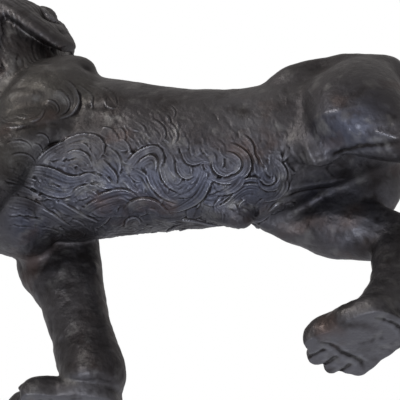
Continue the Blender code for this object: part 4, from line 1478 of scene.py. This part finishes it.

# %% [markdown]
# ## The patina
# The real figure is bronze with a near-black patina, brushed on hot in thin coats. It is darkest in
# the hollows, and hands and cloth have rubbed it thinner on the heights. So there is one metal
# shader whose colour is built up in coats: a cloudy ground, the zones with their painted sheen,
# painted shade and painted light, dark hollows, heights paler as rubbed metal and as a painted
# highlight, and last the small blots. Noise alone would put the wear in the wrong places, so the
# heights and hollows are read from the values kept on the mesh. The roughness falls where the
# metal is rubbed, and a fine bump gives it the grain of cast metal.

# %% Bronze
METAL = 0.85  # the patina covers the metal only partly
bronze = bpy.data.materials.new("bronze patina")
bronze.use_nodes = True
nodes, links = bronze.node_tree.nodes, bronze.node_tree.links
shader = nodes["Principled BSDF"]
shader.inputs["Metallic"].default_value = METAL


def add(kind, **settings):
    node = nodes.new(kind)
    for key, value in settings.items():
        if hasattr(node, key):
            setattr(node, key, value)
        else:
            node.inputs[key].default_value = value
    return node


def mix(factor, first, second):
    node = nodes.new("ShaderNodeMix")
    node.data_type = "RGBA"
    links.new(factor, node.inputs["Factor"])
    for socket, value in ((node.inputs["A"], first), (node.inputs["B"], second)):
        if isinstance(value, tuple):
            socket.default_value = (*value, 1)
        else:
            links.new(value, socket)
    return node.outputs["Result"]


def graded(value, low, high, start=0.0, end=1.0):
    node = nodes.new("ShaderNodeMapRange")
    links.new(value, node.inputs["Value"])
    names = ("From Min", "From Max", "To Min", "To Max")
    for name, number in zip(names, (low, high, start, end)):
        node.inputs[name].default_value = number
    return node.outputs["Result"]


object_place = add("ShaderNodeTexCoord").outputs["Object"]


def cloud(scale, detail):
    node = add("ShaderNodeTexNoise", Scale=scale, Detail=detail)
    links.new(object_place, node.inputs["Vector"])
    return node.outputs["Fac"]


def kept(name):
    return add("ShaderNodeAttribute", attribute_name=name).outputs["Fac"]


colour = mix(graded(cloud(14, 5), 0.35, 0.65), (0.038, 0.034, 0.035), (0.060, 0.056, 0.057))
# Painted sheen: a bluish tint where that zone lies.
colour = mix(graded(kept("painted_sheen_zone"), 0, 1, 0, 0.8), colour, (0.043, 0.047, 0.066))
colour = mix(graded(kept("olive"), 0, 1, 0, 0.7), colour, (0.056, 0.052, 0.044))
colour = mix(graded(kept("sole"), 0, 1, 0, 0.9), colour, (0.074, 0.071, 0.076))
# Painted light: paler where that zone lies, lifting places that lie in shade.
colour = mix(graded(kept("painted_light_zone"), 0, 1, 0, 0.7), colour, (0.088, 0.085, 0.090))
colour = mix(graded(kept("hollow"), 0.05, 0.7), colour, (0.012, 0.010, 0.010))
# Painted shade: near black where that zone lies.
colour = mix(graded(kept("painted_shade_zone"), 0, 1, 0, 0.62), colour, (0.014, 0.011, 0.011))
# Heights made paler: partly rubbed metal, partly a painted highlight along the crests of the locks.
colour = mix(graded(kept("hollow"), -0.15, -0.9, 0, 0.65), colour, (0.125, 0.124, 0.135))
colour = mix(graded(cloud(70, 8), 0.54, 0.72, 0, 0.6), colour, (0.120, 0.116, 0.112))
colour = mix(graded(cloud(31, 7), 0.54, 0.68, 0, 0.75), colour, (0.018, 0.014, 0.013))
colour = mix(graded(cloud(19, 6), 0.57, 0.70, 0, 0.6), colour, (0.058, 0.038, 0.032))
links.new(colour, shader.inputs["Base Color"])
sheen = add("ShaderNodeMath", operation="MULTIPLY")
links.new(graded(cloud(60, 5), 0.2, 0.8, 0.38, 0.56), sheen.inputs[0])
links.new(graded(kept("hollow"), -0.1, -0.9, 1.0, 0.52), sheen.inputs[1])
links.new(sheen.outputs[0], shader.inputs["Roughness"])
grain = add("ShaderNodeBump", Strength=0.8, Distance=0.0009)
links.new(cloud(260, 8), grain.inputs["Height"])
links.new(grain.outputs["Normal"], shader.inputs["Normal"])
for part in parts:
    part.data.materials.clear()
    part.data.materials.append(bronze)
print("bronze nodes:", len(nodes))

# %% [markdown]
# ## Floor, light and camera
# The figure stands on a plain pale floor. The camera looks up at it from below, so the floor is
# clear from underneath: a ray that meets its back goes through, and the soles get light. The room
# is soft and white. A large lamp at the lion's left acts as a window, a small one makes the sparks
# on the curls, and a low one fills the underside.

# %% Floor
FLOOR_SIZE, FLOOR_HEIGHT = 6, -0.0008  # metres; a little under the soles
scene = bpy.context.scene
bpy.ops.object.select_all(action="DESELECT")
bpy.ops.mesh.primitive_plane_add(size=FLOOR_SIZE, location=(0, 0, FLOOR_HEIGHT))
floor = bpy.context.object
floor.name = "floor"
bpy.ops.object.transform_apply(location=True)
pale = bpy.data.materials.new("pale floor")
pale.use_nodes = True
floor.data.materials.append(pale)
nodes, links = pale.node_tree.nodes, pale.node_tree.links
nodes["Principled BSDF"].inputs["Base Color"].default_value = (0.93, 0.93, 0.92, 1)
nodes["Principled BSDF"].inputs["Roughness"].default_value = 0.8
clear = add("ShaderNodeBsdfTransparent")
both = add("ShaderNodeMixShader")
sides = add("ShaderNodeNewGeometry")
rays = add("ShaderNodeLightPath")
from_above = add("ShaderNodeMath", operation="SUBTRACT")
links.new(rays.outputs["Is Camera Ray"], from_above.inputs[0])
links.new(sides.outputs["Backfacing"], from_above.inputs[1])
from_above.use_clamp = True
links.new(from_above.outputs[0], both.inputs["Fac"])
links.new(clear.outputs["BSDF"], both.inputs[1])
links.new(nodes["Principled BSDF"].outputs["BSDF"], both.inputs[2])
links.new(both.outputs["Shader"], nodes["Material Output"].inputs["Surface"])
print("floor:", [round(value, 4) for value in floor.dimensions])

# %% Studio light
world = bpy.data.worlds.new("studio")
scene.world = world
world.use_nodes = True
nodes, links = world.node_tree.nodes, world.node_tree.links
back = nodes["Background"]
back.inputs["Strength"].default_value = 1.0
height = add("ShaderNodeSeparateXYZ")
links.new(add("ShaderNodeTexCoord").outputs["Generated"], height.inputs[0])
room = mix(graded(height.outputs["Z"], -0.6, 0.6), (1.05, 1.08, 1.18), (0.50, 0.48, 0.47))
rays = add("ShaderNodeLightPath")
links.new(mix(rays.outputs["Is Camera Ray"], room, (1.0, 1.0, 1.0)), back.inputs["Color"])
scene.view_settings.view_transform = "Standard"


def lamp(name, place, size, power, colour):
    data = bpy.data.lights.new(name, "AREA")
    data.size = size
    data.energy = power
    data.color = colour
    light = bpy.data.objects.new(name, data)
    scene.collection.objects.link(light)
    light.location = place
    light.rotation_euler = Vector(place).to_track_quat("Z", "Y").to_euler()


lamp("window", (-1.1, -1.5, 1.2), 0.7, 17, (1.0, 0.97, 0.93))
lamp("spark", (-0.9, -1.6, 0.1), 0.10, 5, (1.0, 1.0, 1.0))
lamp("low fill", (-0.3, -1.4, -1.2), 0.5, 18, (0.88, 0.93, 1.0))
print("lamps:", len(bpy.data.lights))

# %% Camera
TABLE = np.array((0.0229, 0.0144, 0.0))  # from the tables' origin to the middle of the figure
camera_data = bpy.data.cameras.new("camera")
camera_data.lens = LENS
camera_data.sensor_width = SENSOR
camera = bpy.data.objects.new("camera", camera_data)
scene.collection.objects.link(camera)
at = camera_at / 1000 - TABLE
camera.matrix_world = Matrix((
    (camera_right[0], camera_up[0], camera_back[0], at[0]),
    (camera_right[1], camera_up[1], camera_back[1], at[1]),
    (camera_right[2], camera_up[2], camera_back[2], at[2]),
    (0, 0, 0, 1),
))
scene.camera = camera
print("camera at", at.round(3))
